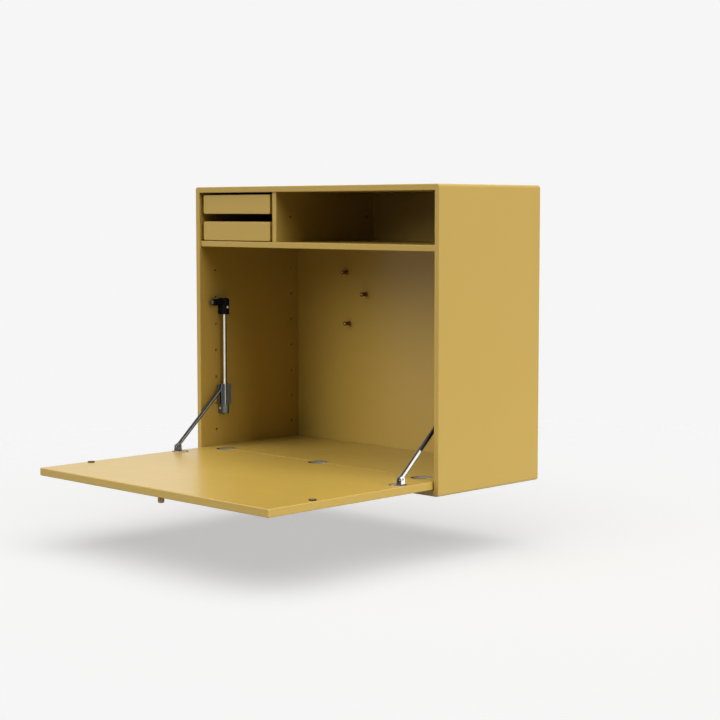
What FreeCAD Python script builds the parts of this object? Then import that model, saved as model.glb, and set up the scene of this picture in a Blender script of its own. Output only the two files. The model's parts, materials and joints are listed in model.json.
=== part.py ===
import FreeCAD, Part
import math
import os

import Sketcher

# Fold down wall desk: a shallow lacquered cabinet that hangs on the wall. A flap hinged along the
# bottom folds down level with the inner base and becomes the desk top. On each side a braked stay
# holds it: an arm runs from a socket in the flap to a slider on an upright rod.
#
# Every place below is measured in the cabinet's own directions: x from its left outer face, y from
# its front edge towards the wall, z from its underside. The finished document has its origin on
# the wall, midway between the two wall screws. All lengths are in millimetres.

SIZES = {
    # Carcass
    "carcass_width": 696,
    "carcass_height": 582,
    "carcass_depth": 295,
    "board": 12,
    "corner_radius": 6,
    "edge_radius": 1.5,
    "back_thickness": 6,
    "base_thickness": 16,
    "fitting_recess": 4,
    "divider_place": 236,
    # Shelf-pin holes
    "pin_radius": 2.5,
    "pin_depth": 8,
    "pin_clearance": 0.05,
    "front_pin_inset": 43.3,
    "rear_pin_inset": 30,
    "first_pin_height": 62.4,
    "pin_pitch": 57.2,
    "pins_over_shelf": 1,
    "dowel_length": 15,
    "divider_bite": 7,
    "divider_dowel_shift": 40,
    # Hanging rail and wall screws
    "rail_thickness": 3,
    "rail_height": 40,
    "rail_margin": 36,
    "screw_spacing": 480,
    "screw_radius": 3,
    "screw_drop": 62,
    # Pegs on the back panel
    "peg_radius": 5,
    "peg_length": 15,
    "peg_stud_radius": 2.5,
    "peg_stud_length": 4,
    "high_peg_place": 167,
    "high_peg_drop": 58,
    "right_peg_place": 226,
    "right_peg_drop": 104,
    "low_peg_place": 175,
    "low_peg_drop": 169,
    # Flap and hinge line
    "flap_thickness": 15.5,
    "flap_side_gap": 1.5,
    "flap_top_gap": 3.3,
    "flap_edge_radius": 2,
    "axis_inset": 15.5,
    "axis_depth": 4.5,
    "flap_heel": 8.5,
    "joint_gap": 1.8,
    "joint_edge_radius": 0.5,
    # Flap hinges
    "hinge_inset": 53.5,
    "cup_radius": 17.5,
    "cup_setback": 4.6,
    "cup_depth": 11.5,
    "cup_sink": 0.5,
    "cup_clearance": 0.05,
    "cup_relief": 0.5,
    "cup_bevel": 1.5,
    "tongue_width": 11,
    "tongue_radius": 4,
    "tongue_gap": 0.5,
    "hinge_pin_radius": 1.5,
    "hinge_pin_length": 21,
    "running_clearance": 0.05,
    # Stays
    "stay_inset": 13.5,
    "rod_place": 57,
    "rod_radius": 4,
    "rod_seat": 12,
    "barrel_radius": 10,
    "barrel_edge_radius": 1.5,
    "stay_web": 14,
    "foot_bottom": 97,
    "foot_radius": 8.5,
    "foot_height": 20.7,
    "foot_lug_reach": 9,
    "foot_lug_gap": 0.5,
    "bracket_bottom": 311.6,
    "bracket_height": 34.4,
    "bracket_top_radius": 5,
    "boss_radius": 7,
    "boss_drop": 8,
    "magnet_radius": 4.5,
    "magnet_length": 4,
    "catch_gap": 0.3,
    "slider_height": 43,
    "slider_seat_gap": 0.3,
    "fork_width": 11.2,
    "fork_reach": 14,
    "fork_slot_depth": 8.6,
    "slider_pivot_reach": 10,
    "slider_pivot_height": 34.6,
    "slider_rib_width": 9,
    "slider_rib_reach": 14,
    "slider_flat": 6,
    "mouth_flare": 3,
    "rivet_radius": 3.5,
    "rivet_height": 1,
    # Arms and their sockets
    "arm_width": 8,
    "arm_thickness": 4,
    "arm_side_gap": 0.4,
    "eye_radius": 4.5,
    "pivot_radius": 2,
    "socket_reach": 74.7,
    "socket_offset": 7.5,
    "socket_cup_depth": 10,
    "socket_proud": 0.5,
    "socket_pivot_height": 12,
    "ear_thickness": 3.2,
    "ear_radius": 5,
    "boot_floor": 6,
    "boot_flare": 1,
    "pin_head_radius": 3,
    "pin_head_height": 0.8,
    # Strike discs and knob
    "strike_radius": 7,
    "strike_proud": 2,
    "strike_depth": 2,
    "knob_inset": 36,
    "knob_length": 18.5,
    "knob_base_radius": 4.5,
    "knob_head_radius": 6.2,
    "knob_stud_radius": 3,
    "knob_stud_length": 9,
    # Trays
    "finger_gap": 16,
    "tray_floor_gap": 1.5,
    "tray_head_gap": 4.7,
    "tray_side_gap": 7.5,
    "tray_recess": 5,
    "tray_back_gap": 11,
    "tray_front_thickness": 12,
    "tray_corner_radius": 4.5,
    "tray_wall": 10,
    "tray_wall_drop": 2.5,
    "tray_bottom": 4,
    "tray_bottom_lift": 2,
    "runner_height": 8.4,
    "runner_bite": 4.5,
    "runner_gap": 0.3,
    "runner_start": 26,
}


class Length:
    """A length in millimetres together with the sheet formula that gives it."""

    def __init__(self, value, formula):
        self.value = value
        self.formula = formula

    def __add__(self, other):
        other = as_length(other)
        return Length(self.value + other.value, f"({self.formula} + {other.formula})")

    def __sub__(self, other):
        other = as_length(other)
        return Length(self.value - other.value, f"({self.formula} - {other.formula})")

    def __mul__(self, other):
        other = as_length(other)
        return Length(self.value * other.value, f"({self.formula} * {other.formula})")

    def __truediv__(self, other):
        other = as_length(other)
        return Length(self.value / other.value, f"({self.formula} / {other.formula})")

    def __radd__(self, other):
        return as_length(other) + self

    def __rsub__(self, other):
        return as_length(other) - self

    def __rmul__(self, other):
        return as_length(other) * self

    def __neg__(self):
        return self * -1


def as_length(number):
    return number if isinstance(number, Length) else Length(float(number), f"({float(number)})")


def root(square):
    return Length(math.sqrt(square.value), f"sqrt({square.formula})")


def whole(number):
    return Length(math.floor(number.value), f"floor({number.formula})")


def slope(rise, run):
    """Angle in degrees of a line that rises so far over such a run."""
    degrees = math.degrees(math.atan2(rise.value, run.value))
    return Length(degrees, f"atan2({rise.formula}; {run.formula})")


ZERO = as_length(0)

doc = FreeCAD.newDocument("fold_down_wall_desk")
sheet = doc.addObject("Spreadsheet::Sheet", "Sizes")
for row, (name, value) in enumerate(SIZES.items(), 1):
    sheet.set(f"A{row}", name)
    sheet.set(f"B{row}", str(value))
    sheet.setAlias(f"B{row}", name)
doc.recompute()


class Sheet:
    """The cells of the sheet, read as lengths."""

    def __getattr__(self, name):
        return Length(float(SIZES[name]), f"Sizes.{name}")


size = Sheet()

# Places that several pieces share
inner_left = size.board
inner_right = size.carcass_width - size.board
inner_width = inner_right - inner_left
middle = size.carcass_width / 2
back_face = size.carcass_depth - size.rail_thickness - size.back_thickness
base_top = size.board + size.base_thickness
screw_height = size.carcass_height - size.screw_drop

axis_height = base_top - size.axis_depth
flap_back = size.axis_inset + size.flap_heel
base_front = flap_back + size.joint_gap
flap_underside = base_top - size.flap_thickness
axis_sum = size.axis_inset + axis_height

pin_room = size.carcass_height - size.board - size.pin_radius - size.first_pin_height
pin_count = whole(pin_room / size.pin_pitch) + 1
shelf_pin_height = size.first_pin_height + (pin_count - 1 - size.pins_over_shelf) * size.pin_pitch
shelf_underside = shelf_pin_height - size.board / 2
shelf_top = shelf_underside + size.board
flap_reach = shelf_underside - size.flap_top_gap - axis_sum
flap_left = inner_left + size.flap_side_gap
flap_width = inner_width - 2 * size.flap_side_gap
shut_inner_face = size.axis_inset + size.axis_depth

stay_place = inner_left + size.stay_inset
slider_bottom = size.foot_bottom + size.foot_height + size.slider_seat_gap
pivot_place = size.rod_place - size.slider_pivot_reach
pivot_height = slider_bottom + size.slider_pivot_height
socket_height = base_top + size.socket_pivot_height
boss_height = size.bracket_bottom + size.bracket_height - size.boss_drop
boss_tip = shut_inner_face + size.strike_proud + size.catch_gap
strike_place = axis_sum - boss_height

tray_bay = size.divider_place - inner_left
tray_width = tray_bay - 2 * size.tray_side_gap
tray_stack = size.carcass_height - size.board - shelf_top
tray_height = (tray_stack - size.tray_floor_gap - size.finger_gap - size.tray_head_gap) / 2
lower_tray_floor = shelf_top + size.tray_floor_gap
upper_tray_floor = lower_tray_floor + tray_height + size.finger_gap
tray_wall_height = tray_height - size.tray_bottom_lift - size.tray_wall_drop
runner_lift = size.tray_bottom_lift + (tray_wall_height - size.runner_height) / 2


# Drawing and shaping

def bind(thing, prop, length):
    thing.setExpression(prop, length.formula)


def new_body(name, x, y, z):
    """Body whose own origin lies at this place in the cabinet."""
    body = doc.addObject("PartDesign::Body", name)
    body.Label = name
    bind(body, "Placement.Base.x", as_length(x) - middle)
    bind(body, "Placement.Base.y", as_length(y) - size.carcass_depth)
    bind(body, "Placement.Base.z", as_length(z) - screw_height)
    return body


def origin_feature(body, role):
    return next(feature for feature in body.Origin.OriginFeatures if feature.Role == role)


def new_sketch(body, plane, offset=ZERO):
    """Sketch on one of the body's origin planes, set off along that plane's normal.

    XY looks along z; YZ draws y and z and looks along x; XZ draws x and z, its normal is -y.
    """
    sketch = body.newObject("Sketcher::SketchObject", f"{body.Name}_sketch")
    sketch.AttachmentSupport = [(origin_feature(body, f"{plane}_Plane"), "")]
    sketch.MapMode = "FlatFace"
    bind(sketch, "AttachmentOffset.Base.z", as_length(offset))
    return sketch


def constrain(sketch, kind, length, *picks):
    index = sketch.addConstraint(Sketcher.Constraint(kind, *picks, length.value))
    bind(sketch, f"Constraints[{index}]", length)


def as_vector(point):
    x, y = point
    return FreeCAD.Vector(as_length(x).value, as_length(y).value, 0)


def place_point(sketch, line, end, point):
    for kind, length in zip(("DistanceX", "DistanceY"), point):
        constrain(sketch, kind, as_length(length), -1, 1, line, end)


def draw_outline(sketch, points, arcs=None):
    """Closed outline through the points. An arc, counter-clockwise about the centre that arcs
    gives for a point's number, takes the place of the straight edge to the next point."""
    arcs = arcs or {}
    corners = [as_vector(point) for point in points]
    lines = []
    for number, start in enumerate(corners):
        end = corners[(number + 1) % len(corners)]
        edge = Part.LineSegment(start, end)
        if number in arcs:
            hub = as_vector(arcs[number])
            circle = Part.Circle(hub, FreeCAD.Vector(0, 0, 1), hub.distanceToPoint(start))
            edge = Part.ArcOfCircle(circle, circle.parameter(start), circle.parameter(end))
        lines.append(sketch.addGeometry(edge, False))
    for line, following in zip(lines, lines[1:] + lines[:1]):
        sketch.addConstraint(Sketcher.Constraint("Coincident", line, 2, following, 1))
    for line, point in zip(lines, points):
        place_point(sketch, line, 1, point)
    for number, centre in arcs.items():
        chord = corners[(number + 1) % len(corners)] - corners[number]
        across = abs(chord.x) < abs(chord.y)
        kind, length = ("DistanceX", centre[0]) if across else ("DistanceY", centre[1])
        constrain(sketch, kind, as_length(length), -1, 1, lines[number], 3)
    return sketch


def draw_rectangle(sketch, left, bottom, right, top):
    return draw_outline(sketch, [(left, bottom), (right, bottom), (right, top), (left, top)])


def draw_circle(sketch, x, y, radius):
    round_line = Part.Circle(as_vector((x, y)), FreeCAD.Vector(0, 0, 1), radius.value)
    circle = sketch.addGeometry(round_line, False)
    place_point(sketch, circle, 3, (x, y))
    constrain(sketch, "Radius", radius, circle)
    return sketch


def pad(body, sketch, length, reverse=False, both_ways=False):
    feature = body.newObject("PartDesign::Pad", f"{body.Name}_pad")
    feature.Profile = sketch
    feature.Reversed = reverse
    feature.Midplane = both_ways
    bind(feature, "Length", length)
    doc.recompute()
    return feature


def pocket(body, sketch, depth, reverse=False, both_ways=False):
    """Pocket against the sketch's normal, or along it if reversed; it has to remove something."""
    before = body.Tip.Shape.Volume
    feature = body.newObject("PartDesign::Pocket", f"{body.Name}_pocket")
    feature.Profile = sketch
    feature.Reversed = reverse
    feature.Midplane = both_ways
    bind(feature, "Length", depth)
    doc.recompute()
    if feature.Shape.Volume >= before:
        raise ValueError(f"{body.Label}: a pocket cuts nothing")
    return feature


def repeat(body, feature, axis, pitch, count):
    """Row of copies of a feature along one of the body's own axes."""
    pattern = body.newObject("PartDesign::LinearPattern", f"{body.Name}_row")
    pattern.Originals = [feature]
    pattern.Direction = (origin_feature(body, f"{axis}_Axis"), [""])
    bind(pattern, "Length", pitch * (count - 1))
    bind(pattern, "Occurrences", count)
    body.Tip = pattern
    doc.recompute()
    return pattern


def round_edges(body, radius, chosen):
    """Fillet on every edge of the body, as it stands, that the test chooses."""
    solid = body.Tip
    edges = enumerate(solid.Shape.Edges, 1)
    names = [f"Edge{number}" for number, edge in edges if chosen(edge)]
    feature = body.newObject("PartDesign::Fillet", f"{body.Name}_rounding")
    feature.Base = (solid, names)
    bind(feature, "Radius", radius)
    doc.recompute()
    return feature


def bevel_edges(body, width, chosen):
    """Chamfer on every edge of the body, as it stands, that the test chooses."""
    solid = body.Tip
    edges = enumerate(solid.Shape.Edges, 1)
    names = [f"Edge{number}" for number, edge in edges if chosen(edge)]
    feature = body.newObject("PartDesign::Chamfer", f"{body.Name}_bevel")
    feature.Base = (solid, names)
    bind(feature, "Size", width)
    doc.recompute()
    return feature


def touches(edge, axis, length):
    """True where the whole edge lies at this distance along the axis."""
    place = as_length(length).value
    box = edge.BoundBox
    low, high = getattr(box, f"{axis}Min"), getattr(box, f"{axis}Max")
    return abs(low - place) < 1e-4 and abs(high - place) < 1e-4


def is_mitre(edge):
    """True for a straight edge that slants across the front."""
    box = edge.BoundBox
    return isinstance(edge.Curve, Part.Line) and min(box.XLength, box.ZLength) > 1e-3


def runs_along(edge, axis):
    """True for a straight edge parallel to the axis."""
    box = edge.BoundBox
    spans = {letter: getattr(box, f"{letter}Length") for letter in "XYZ"}
    return spans.pop(axis) > 1e-3 and max(spans.values()) < 1e-4


def mirrored(name, body):
    """The same piece on the other side of the cabinet's middle."""
    copy = doc.addObject("Part::Mirroring", name)
    copy.Label = name
    copy.Source = body
    copy.Normal = FreeCAD.Vector(1, 0, 0)
    copy.Base = FreeCAD.Vector(0, 0, 0)
    return copy


# Carcass

def mitred_board(name, length, lying=False):
    """Outer board: mitred ends, each with its half of the rounded corner, full cabinet depth."""
    body = new_body(name, ZERO, ZERO, ZERO)
    tangent = size.corner_radius
    halfway = size.corner_radius * (1 - 1 / math.sqrt(2))
    board = size.board
    far = length - tangent
    points = [
        (board, board), (board, length - board), (halfway, length - halfway),
        (ZERO, far), (ZERO, tangent), (halfway, halfway),
    ]
    arcs = {2: (tangent, far), 4: (tangent, tangent)}
    if lying:
        points = [(along, across) for across, along in reversed(points)]
        arcs = {0: (tangent, tangent), 2: (far, tangent)}
    sketch = new_sketch(body, "XZ")
    draw_outline(sketch, points, arcs)
    pad(body, sketch, size.carcass_depth, reverse=True)
    inner = "Z" if lying else "X"

    def shows(edge):
        """True for the front edges and for the outer one at the back."""
        at_back = touches(edge, "Y", size.carcass_depth) and not touches(edge, inner, board)
        return (touches(edge, "Y", 0) or at_back) and not is_mitre(edge)

    round_edges(body, size.edge_radius, shows)
    return body


def build_side_panel():
    panel = mitred_board("left_side_panel", size.carcass_height)
    for place in pin_insets():
        hole = new_sketch(panel, "YZ", size.board)
        draw_circle(hole, place, size.first_pin_height, size.pin_radius)
        repeat(panel, pocket(panel, hole, size.pin_depth), "Z", size.pin_pitch, pin_count)
    return panel


def build_bottom_board():
    return mitred_board("bottom_board", size.carcass_width, lying=True)


def build_top_board():
    """The bottom board's section turned over, with dowel holes for the divider."""
    board = mitred_board("top_board", size.carcass_width, lying=True)
    board.Placement = FreeCAD.Placement(FreeCAD.Vector(), FreeCAD.Rotation(FreeCAD.Vector(0, 1, 0), 180))
    bind(board, "Placement.Base.x", size.carcass_width - middle)
    bind(board, "Placement.Base.y", -size.carcass_depth)
    bind(board, "Placement.Base.z", size.carcass_height - screw_height)
    dowel_x = size.carcass_width - size.divider_place - size.board / 2
    drill_dowel_holes(board, dowel_x, ZERO, size.board)
    return board


def build_back_panel():
    """Panel let in behind the shelf, with holes for the wall screws and the pegs' studs."""
    panel = new_body("back_panel", inner_left, back_face, size.board)
    sketch = draw_rectangle(
        new_sketch(panel, "XZ"), ZERO, ZERO, inner_width, size.carcass_height - 2 * size.board
    )
    pad(panel, sketch, size.back_thickness, reverse=True)
    for side in (-1, 1):
        screw_x = middle + side * size.screw_spacing / 2 - inner_left
        hole = draw_circle(new_sketch(panel, "XZ"), screw_x, screw_height - size.board, size.screw_radius)
        pocket(panel, hole, size.back_thickness)
    stud_hole = size.peg_stud_radius + size.pin_clearance
    for x, z in peg_places():
        hole = draw_circle(new_sketch(panel, "XZ"), x - inner_left, z - size.board, stud_hole)
        pocket(panel, hole, size.peg_stud_length + size.pin_clearance)
    return panel


def peg_places():
    """Where each peg stands across the panel, and how far it hangs below the shelf."""
    return (
        (size.high_peg_place, shelf_underside - size.high_peg_drop),
        (size.right_peg_place, shelf_underside - size.right_peg_drop),
        (size.low_peg_place, shelf_underside - size.low_peg_drop),
    )


def build_pegs():
    """Three pegs in one node, turned with a rounded nose and a stud in the back panel."""
    pegs = []
    for number, (x, z) in enumerate(peg_places(), 1):
        peg = new_body(f"peg_{number}", x, back_face, z)
        pad(peg, draw_circle(new_sketch(peg, "XZ"), ZERO, ZERO, size.peg_radius), size.peg_length)
        bevel_edges(peg, size.edge_radius, lambda edge: touches(edge, "Y", -size.peg_length))
        stud = draw_circle(new_sketch(peg, "XZ"), ZERO, ZERO, size.peg_stud_radius)
        pad(peg, stud, size.peg_stud_length, reverse=True)
        pegs.append(peg)
    return group("pegs", pegs)


def group(name, pieces):
    """One node that holds several separate solids."""
    compound = doc.addObject("Part::Compound", name)
    compound.Label = name
    compound.Links = pieces
    return compound


def build_base_panel():
    """Inner base, level with the open flap, with open-sided bores for the hinge cups."""
    depth = back_face - base_front
    panel = new_body("base_panel", inner_left, base_front, size.board)
    sketch = draw_rectangle(new_sketch(panel, "XY"), ZERO, ZERO, inner_width, depth)
    pad(panel, sketch, size.base_thickness)
    round_edges(
        panel, size.joint_edge_radius,
        lambda edge: touches(edge, "Y", 0) and touches(edge, "Z", size.base_thickness),
    )
    for x in hinge_places():
        bore = new_sketch(panel, "XY", size.base_thickness)
        draw_circle(bore, x - inner_left, size.cup_setback, size.cup_radius + size.cup_clearance)
        pocket(panel, bore, size.cup_depth + size.cup_clearance)
    return panel


def build_shelf():
    """Shelf with dowel bores in both ends."""
    shelf = new_body("shelf", inner_left, size.fitting_recess, shelf_underside)
    depth = back_face - size.fitting_recess
    pad(shelf, draw_rectangle(new_sketch(shelf, "XY"), ZERO, ZERO, inner_width, depth), size.board)
    round_edges(shelf, size.edge_radius, lambda edge: touches(edge, "Y", 0) and runs_along(edge, "X"))
    bore_depth = size.dowel_length - size.pin_depth + 2 * size.pin_clearance
    for place in pin_insets():
        for end, inwards in ((ZERO, True), (inner_width, False)):
            bore = new_sketch(shelf, "YZ", end)
            draw_circle(bore, place - size.fitting_recess, size.board / 2, size.pin_radius)
            pocket(shelf, bore, bore_depth, reverse=inwards)
    dowel_x = size.divider_place + size.board / 2 - inner_left
    drill_dowel_holes(shelf, dowel_x, size.fitting_recess, size.board)
    return shelf


def pin_insets():
    return size.front_pin_inset, size.carcass_depth - size.rear_pin_inset


def build_shelf_dowels():
    """Four dowels, half in the side panels' pin holes and half in the shelf."""
    dowels = []
    depth = size.pin_depth - size.pin_clearance
    for number, y in enumerate(pin_insets(), 1):
        for side, x in (("left", inner_left - depth), ("right", inner_right + depth)):
            dowel = new_body(f"shelf_dowel_{side}_{number}", x, y, shelf_pin_height)
            sketch = draw_circle(new_sketch(dowel, "YZ"), ZERO, ZERO, size.pin_radius - size.pin_clearance)
            pad(dowel, sketch, size.dowel_length, reverse=side == "right")
            dowels.append(dowel)
    return group("shelf_dowels", dowels)


def build_divider_dowels():
    """Four upright dowels that peg the divider to the shelf and to the top board."""
    bite = size.divider_bite
    length = 2 * bite
    x = size.divider_place + size.board / 2
    dowels = []
    for number, y in enumerate(divider_dowel_places(), 1):
        for end, z in (("low", shelf_top - bite), ("high", size.carcass_height - size.board - bite)):
            dowel = new_body(f"divider_dowel_{end}_{number}", x, y, z)
            sketch = draw_circle(new_sketch(dowel, "XY"), ZERO, ZERO, size.pin_radius - size.pin_clearance)
            pad(dowel, sketch, length)
            dowels.append(dowel)
    return group("divider_dowels", dowels)


def divider_dowel_places():
    """Clear of the pin holes, one near the front and one near the back."""
    return (
        size.front_pin_inset + size.divider_dowel_shift,
        size.carcass_depth - size.rear_pin_inset - size.divider_dowel_shift,
    )


def drill_dowel_holes(body, x, y, face, down=True):
    """Blind holes for the divider's dowels, from a face that lies across z."""
    for place in divider_dowel_places():
        hole = new_sketch(body, "XY", face)
        draw_circle(hole, x, place - y, size.pin_radius)
        pocket(body, hole, size.divider_bite + size.pin_clearance, reverse=not down)


def build_divider():
    """Upright between trays and open compartment, with pin holes on its open side."""
    height = size.carcass_height - size.board - shelf_top
    divider = new_body("divider", size.divider_place, size.fitting_recess, shelf_top)
    depth = back_face - size.fitting_recess
    pad(divider, draw_rectangle(new_sketch(divider, "XY"), ZERO, ZERO, size.board, depth), height)
    round_edges(divider, size.edge_radius, lambda edge: touches(edge, "Y", 0) and runs_along(edge, "Z"))
    for place in pin_insets():
        hole = new_sketch(divider, "YZ", size.board)
        pin_z = shelf_pin_height + size.pin_pitch - shelf_top
        draw_circle(hole, place - size.fitting_recess, pin_z, size.pin_radius)
        pocket(divider, hole, size.pin_depth)
    drill_dowel_holes(divider, size.board / 2, size.fitting_recess, ZERO, down=False)
    drill_dowel_holes(divider, size.board / 2, size.fitting_recess, height)
    return divider


def build_hanging_rail():
    """Steel strip behind the back panel, level with the carcass's rear edges."""
    length = inner_width - 2 * size.rail_margin
    rail = new_body(
        "hanging_rail", inner_left + size.rail_margin, size.carcass_depth - size.rail_thickness,
        screw_height - size.rail_height / 2,
    )
    sketch = draw_rectangle(new_sketch(rail, "XZ"), ZERO, ZERO, length, size.rail_height)
    pad(rail, sketch, size.rail_thickness, reverse=True)
    round_edges(rail, size.rail_thickness, lambda edge: runs_along(edge, "Y"))
    for side in (-1, 1):
        hole = new_sketch(rail, "XZ")
        draw_circle(hole, length / 2 + side * size.screw_spacing / 2, size.rail_height / 2, size.screw_radius)
        pocket(rail, hole, size.rail_thickness)
    return rail


# Flap hinges

def hinge_places():
    return inner_left + size.hinge_inset, middle, inner_right - size.hinge_inset


def build_hinge_cup(name, x):
    """Cabinet half: a round cup cut off at the joint, with a tongue that carries the pin."""
    cup = new_body(name, x, base_front, base_top)
    disc = draw_circle(new_sketch(cup, "XY", -size.cup_sink), ZERO, size.cup_setback, size.cup_radius)
    pad(cup, disc, size.cup_depth - size.cup_sink, reverse=True)
    trim = draw_rectangle(
        new_sketch(cup, "XY"), -size.cup_radius, -size.cup_radius, size.cup_radius, size.cup_relief
    )
    pocket(cup, trim, size.cup_depth)
    axis_y = size.axis_inset - base_front
    axis_z = -size.axis_depth
    tongue = draw_outline(
        new_sketch(cup, "YZ"),
        [
            (axis_y, axis_z - size.tongue_radius),
            (size.cup_radius / 2, axis_z - size.tongue_radius),
            (size.cup_radius / 2, axis_z + size.tongue_radius),
            (axis_y, axis_z + size.tongue_radius),
        ],
        {3: (axis_y, axis_z)},
    )
    pad(cup, tongue, size.tongue_width, both_ways=True)
    bore = draw_circle(
        new_sketch(cup, "YZ"), axis_y, axis_z, size.hinge_pin_radius + size.running_clearance
    )
    pocket(cup, bore, size.tongue_width, both_ways=True)
    return cup


def build_flap_cup(name, x):
    """Flap half: the matching cup, slotted for the tongue, with an ear each side for the pin."""
    cup = new_body(name, x, flap_back, base_top)
    disc = draw_circle(new_sketch(cup, "XY", -size.cup_sink), ZERO, -size.cup_setback, size.cup_radius)
    pad(cup, disc, size.cup_depth - size.cup_sink, reverse=True)
    trim = draw_rectangle(
        new_sketch(cup, "XY"), -size.cup_radius, -size.cup_relief, size.cup_radius, size.cup_radius
    )
    pocket(cup, trim, size.cup_depth)
    bevel_edges(
        cup, size.cup_bevel,
        lambda edge: touches(edge, "Y", -size.cup_relief) and touches(edge, "Z", -size.cup_depth),
    )
    axis_y = -size.flap_heel
    axis_z = -size.axis_depth
    reach = size.tongue_radius + size.tongue_gap
    half_slot = size.tongue_width / 2 + size.tongue_gap
    slot = draw_outline(
        new_sketch(cup, "YZ"),
        [
            (axis_y, axis_z - reach), (ZERO, axis_z - reach), (ZERO, ZERO),
            (axis_y - reach, ZERO), (axis_y - reach, axis_z),
        ],
        {4: (axis_y, axis_z)},
    )
    pocket(cup, slot, 2 * half_slot, both_ways=True)
    bore = draw_circle(
        new_sketch(cup, "YZ"), axis_y, axis_z, size.hinge_pin_radius + size.running_clearance
    )
    pocket(cup, bore, size.hinge_pin_length + 2 * size.running_clearance, both_ways=True)
    return cup


def build_hinge_pin(name, x):
    pin = new_body(name, x, size.axis_inset, axis_height)
    pad(pin, draw_circle(new_sketch(pin, "YZ"), ZERO, ZERO, size.hinge_pin_radius),
        size.hinge_pin_length, both_ways=True)
    return pin


# Flap

def build_flap():
    """Flap panel, drawn open, bored for hinge cups, sockets, strikes and knob. The heel's full
    rounding turns clear of the bottom board."""
    length = flap_reach + flap_back
    flap = new_body("flap_panel", flap_left, flap_back, flap_underside)
    thick = size.flap_thickness
    pad(flap, draw_rectangle(new_sketch(flap, "XY"), ZERO, -length, flap_width, ZERO), thick)
    round_edges(flap, size.flap_heel, is_heel)
    round_edges(flap, size.flap_edge_radius, lambda edge: not is_seam(edge))

    def bore(x, y, radius, depth, from_top=True):
        """Round pocket sunk from the writing face or from the outer face."""
        sketch = draw_circle(new_sketch(flap, "XY", thick if from_top else ZERO), x, y, radius)
        pocket(flap, sketch, depth, reverse=not from_top)

    for x in hinge_places():
        bore(x - flap_left, -size.cup_setback, size.cup_radius + size.cup_clearance,
             size.cup_depth + size.cup_clearance)
    far_side = size.carcass_width - flap_left
    socket_x = stay_place + size.socket_offset
    socket_y = -size.socket_reach - flap_back
    for x in (socket_x - flap_left, far_side - socket_x):
        bore(x, socket_y, size.cup_radius + size.cup_clearance, size.socket_cup_depth + size.cup_clearance)
    for x in (stay_place - flap_left, far_side - stay_place):
        bore(x, strike_place - flap_back, size.strike_radius + size.cup_clearance,
             size.strike_depth + size.cup_clearance)
    bore(middle - flap_left, knob_place() - flap_back, size.knob_stud_radius + size.pin_clearance,
         size.knob_stud_length + size.pin_clearance, from_top=False)
    return flap


def is_heel(edge):
    """True for the flap's lower back edge."""
    return touches(edge, "Y", 0) and touches(edge, "Z", 0)


def is_seam(edge):
    """True where the heel's rounding runs out into the back face or the underside."""
    at_back = touches(edge, "Y", 0) and touches(edge, "Z", size.flap_heel)
    return at_back or touches(edge, "Y", -size.flap_heel) and touches(edge, "Z", 0)


def knob_place():
    return size.knob_inset - flap_reach


def build_knob():
    """Turned knob on the outer face: slim neck, domed head, plain stud into the flap."""
    knob = new_body("knob", middle, knob_place(), flap_underside)
    neck = size.knob_base_radius
    head = size.knob_head_radius
    waist = size.knob_length / 2
    shoulder = size.knob_length - head / 2
    outline = draw_outline(
        new_sketch(knob, "XZ"),
        [
            (ZERO, size.knob_stud_length), (ZERO, -size.knob_length), (head / 2, -size.knob_length),
            (head, -shoulder), (head, -waist), (neck * 0.8, -waist * 0.7), (neck * 0.8, -waist * 0.3),
            (neck, ZERO), (size.knob_stud_radius, ZERO), (size.knob_stud_radius, size.knob_stud_length),
        ],
        {2: (head / 2, -shoulder)},
    )
    turned = knob.newObject("PartDesign::Revolution", "knob_turning")
    turned.Profile = outline
    turned.ReferenceAxis = (origin_feature(knob, "Z_Axis"), [""])
    turned.Angle = 360
    doc.recompute()
    return knob


def build_strike():
    """Steel disc in the flap that the catch magnet pulls on."""
    strike = new_body("left_strike", stay_place, strike_place, base_top)
    disc = draw_circle(new_sketch(strike, "XY", -size.strike_depth), ZERO, ZERO, size.strike_radius)
    pad(strike, disc, size.strike_depth + size.strike_proud)
    bevel_edges(strike, size.strike_proud / 3, lambda edge: touches(edge, "Z", size.strike_proud))
    return strike


def build_arm_socket():
    """Round socket let into the flap, with a forked boot over its outer half for the arm's eye."""
    socket = new_body("left_arm_socket", stay_place, -size.socket_reach, base_top)
    cup = draw_circle(new_sketch(socket, "XY", size.socket_proud), size.socket_offset, ZERO, size.cup_radius)
    pad(socket, cup, size.socket_cup_depth + size.socket_proud, reverse=True)
    bevel_edges(socket, size.socket_proud * 0.8, lambda edge: touches(edge, "Z", size.socket_proud))
    height = size.socket_pivot_height
    slot = size.arm_thickness / 2 + size.arm_side_gap
    width = 2 * (slot + size.ear_thickness)
    ear = size.ear_radius
    foot = ear + size.boot_flare
    boot = draw_outline(
        new_sketch(socket, "YZ"),
        [(-foot, ZERO), (foot, ZERO), (ear, height), (-ear, height)],
        {2: (ZERO, height)},
    )
    pad(socket, boot, width, both_ways=True)
    fork = draw_rectangle(new_sketch(socket, "YZ"), -foot, size.boot_floor, foot, height + ear)
    pocket(socket, fork, 2 * slot, both_ways=True)
    bore = draw_circle(new_sketch(socket, "YZ"), ZERO, height, size.pivot_radius + size.running_clearance)
    pocket(socket, bore, width, both_ways=True)
    return socket


def build_socket_pin():
    """Headed pin through the socket's ears and the arm's eye."""
    half = size.arm_thickness / 2 + size.arm_side_gap + size.ear_thickness
    pin = new_body("left_socket_pin", stay_place - half, -size.socket_reach, socket_height)
    pad(pin, draw_circle(new_sketch(pin, "YZ"), ZERO, ZERO, size.pivot_radius), 2 * half)
    head = draw_circle(new_sketch(pin, "YZ", 2 * half), ZERO, ZERO, size.pin_head_radius)
    pad(pin, head, size.pin_head_height)
    return pin


# Stays

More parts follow.
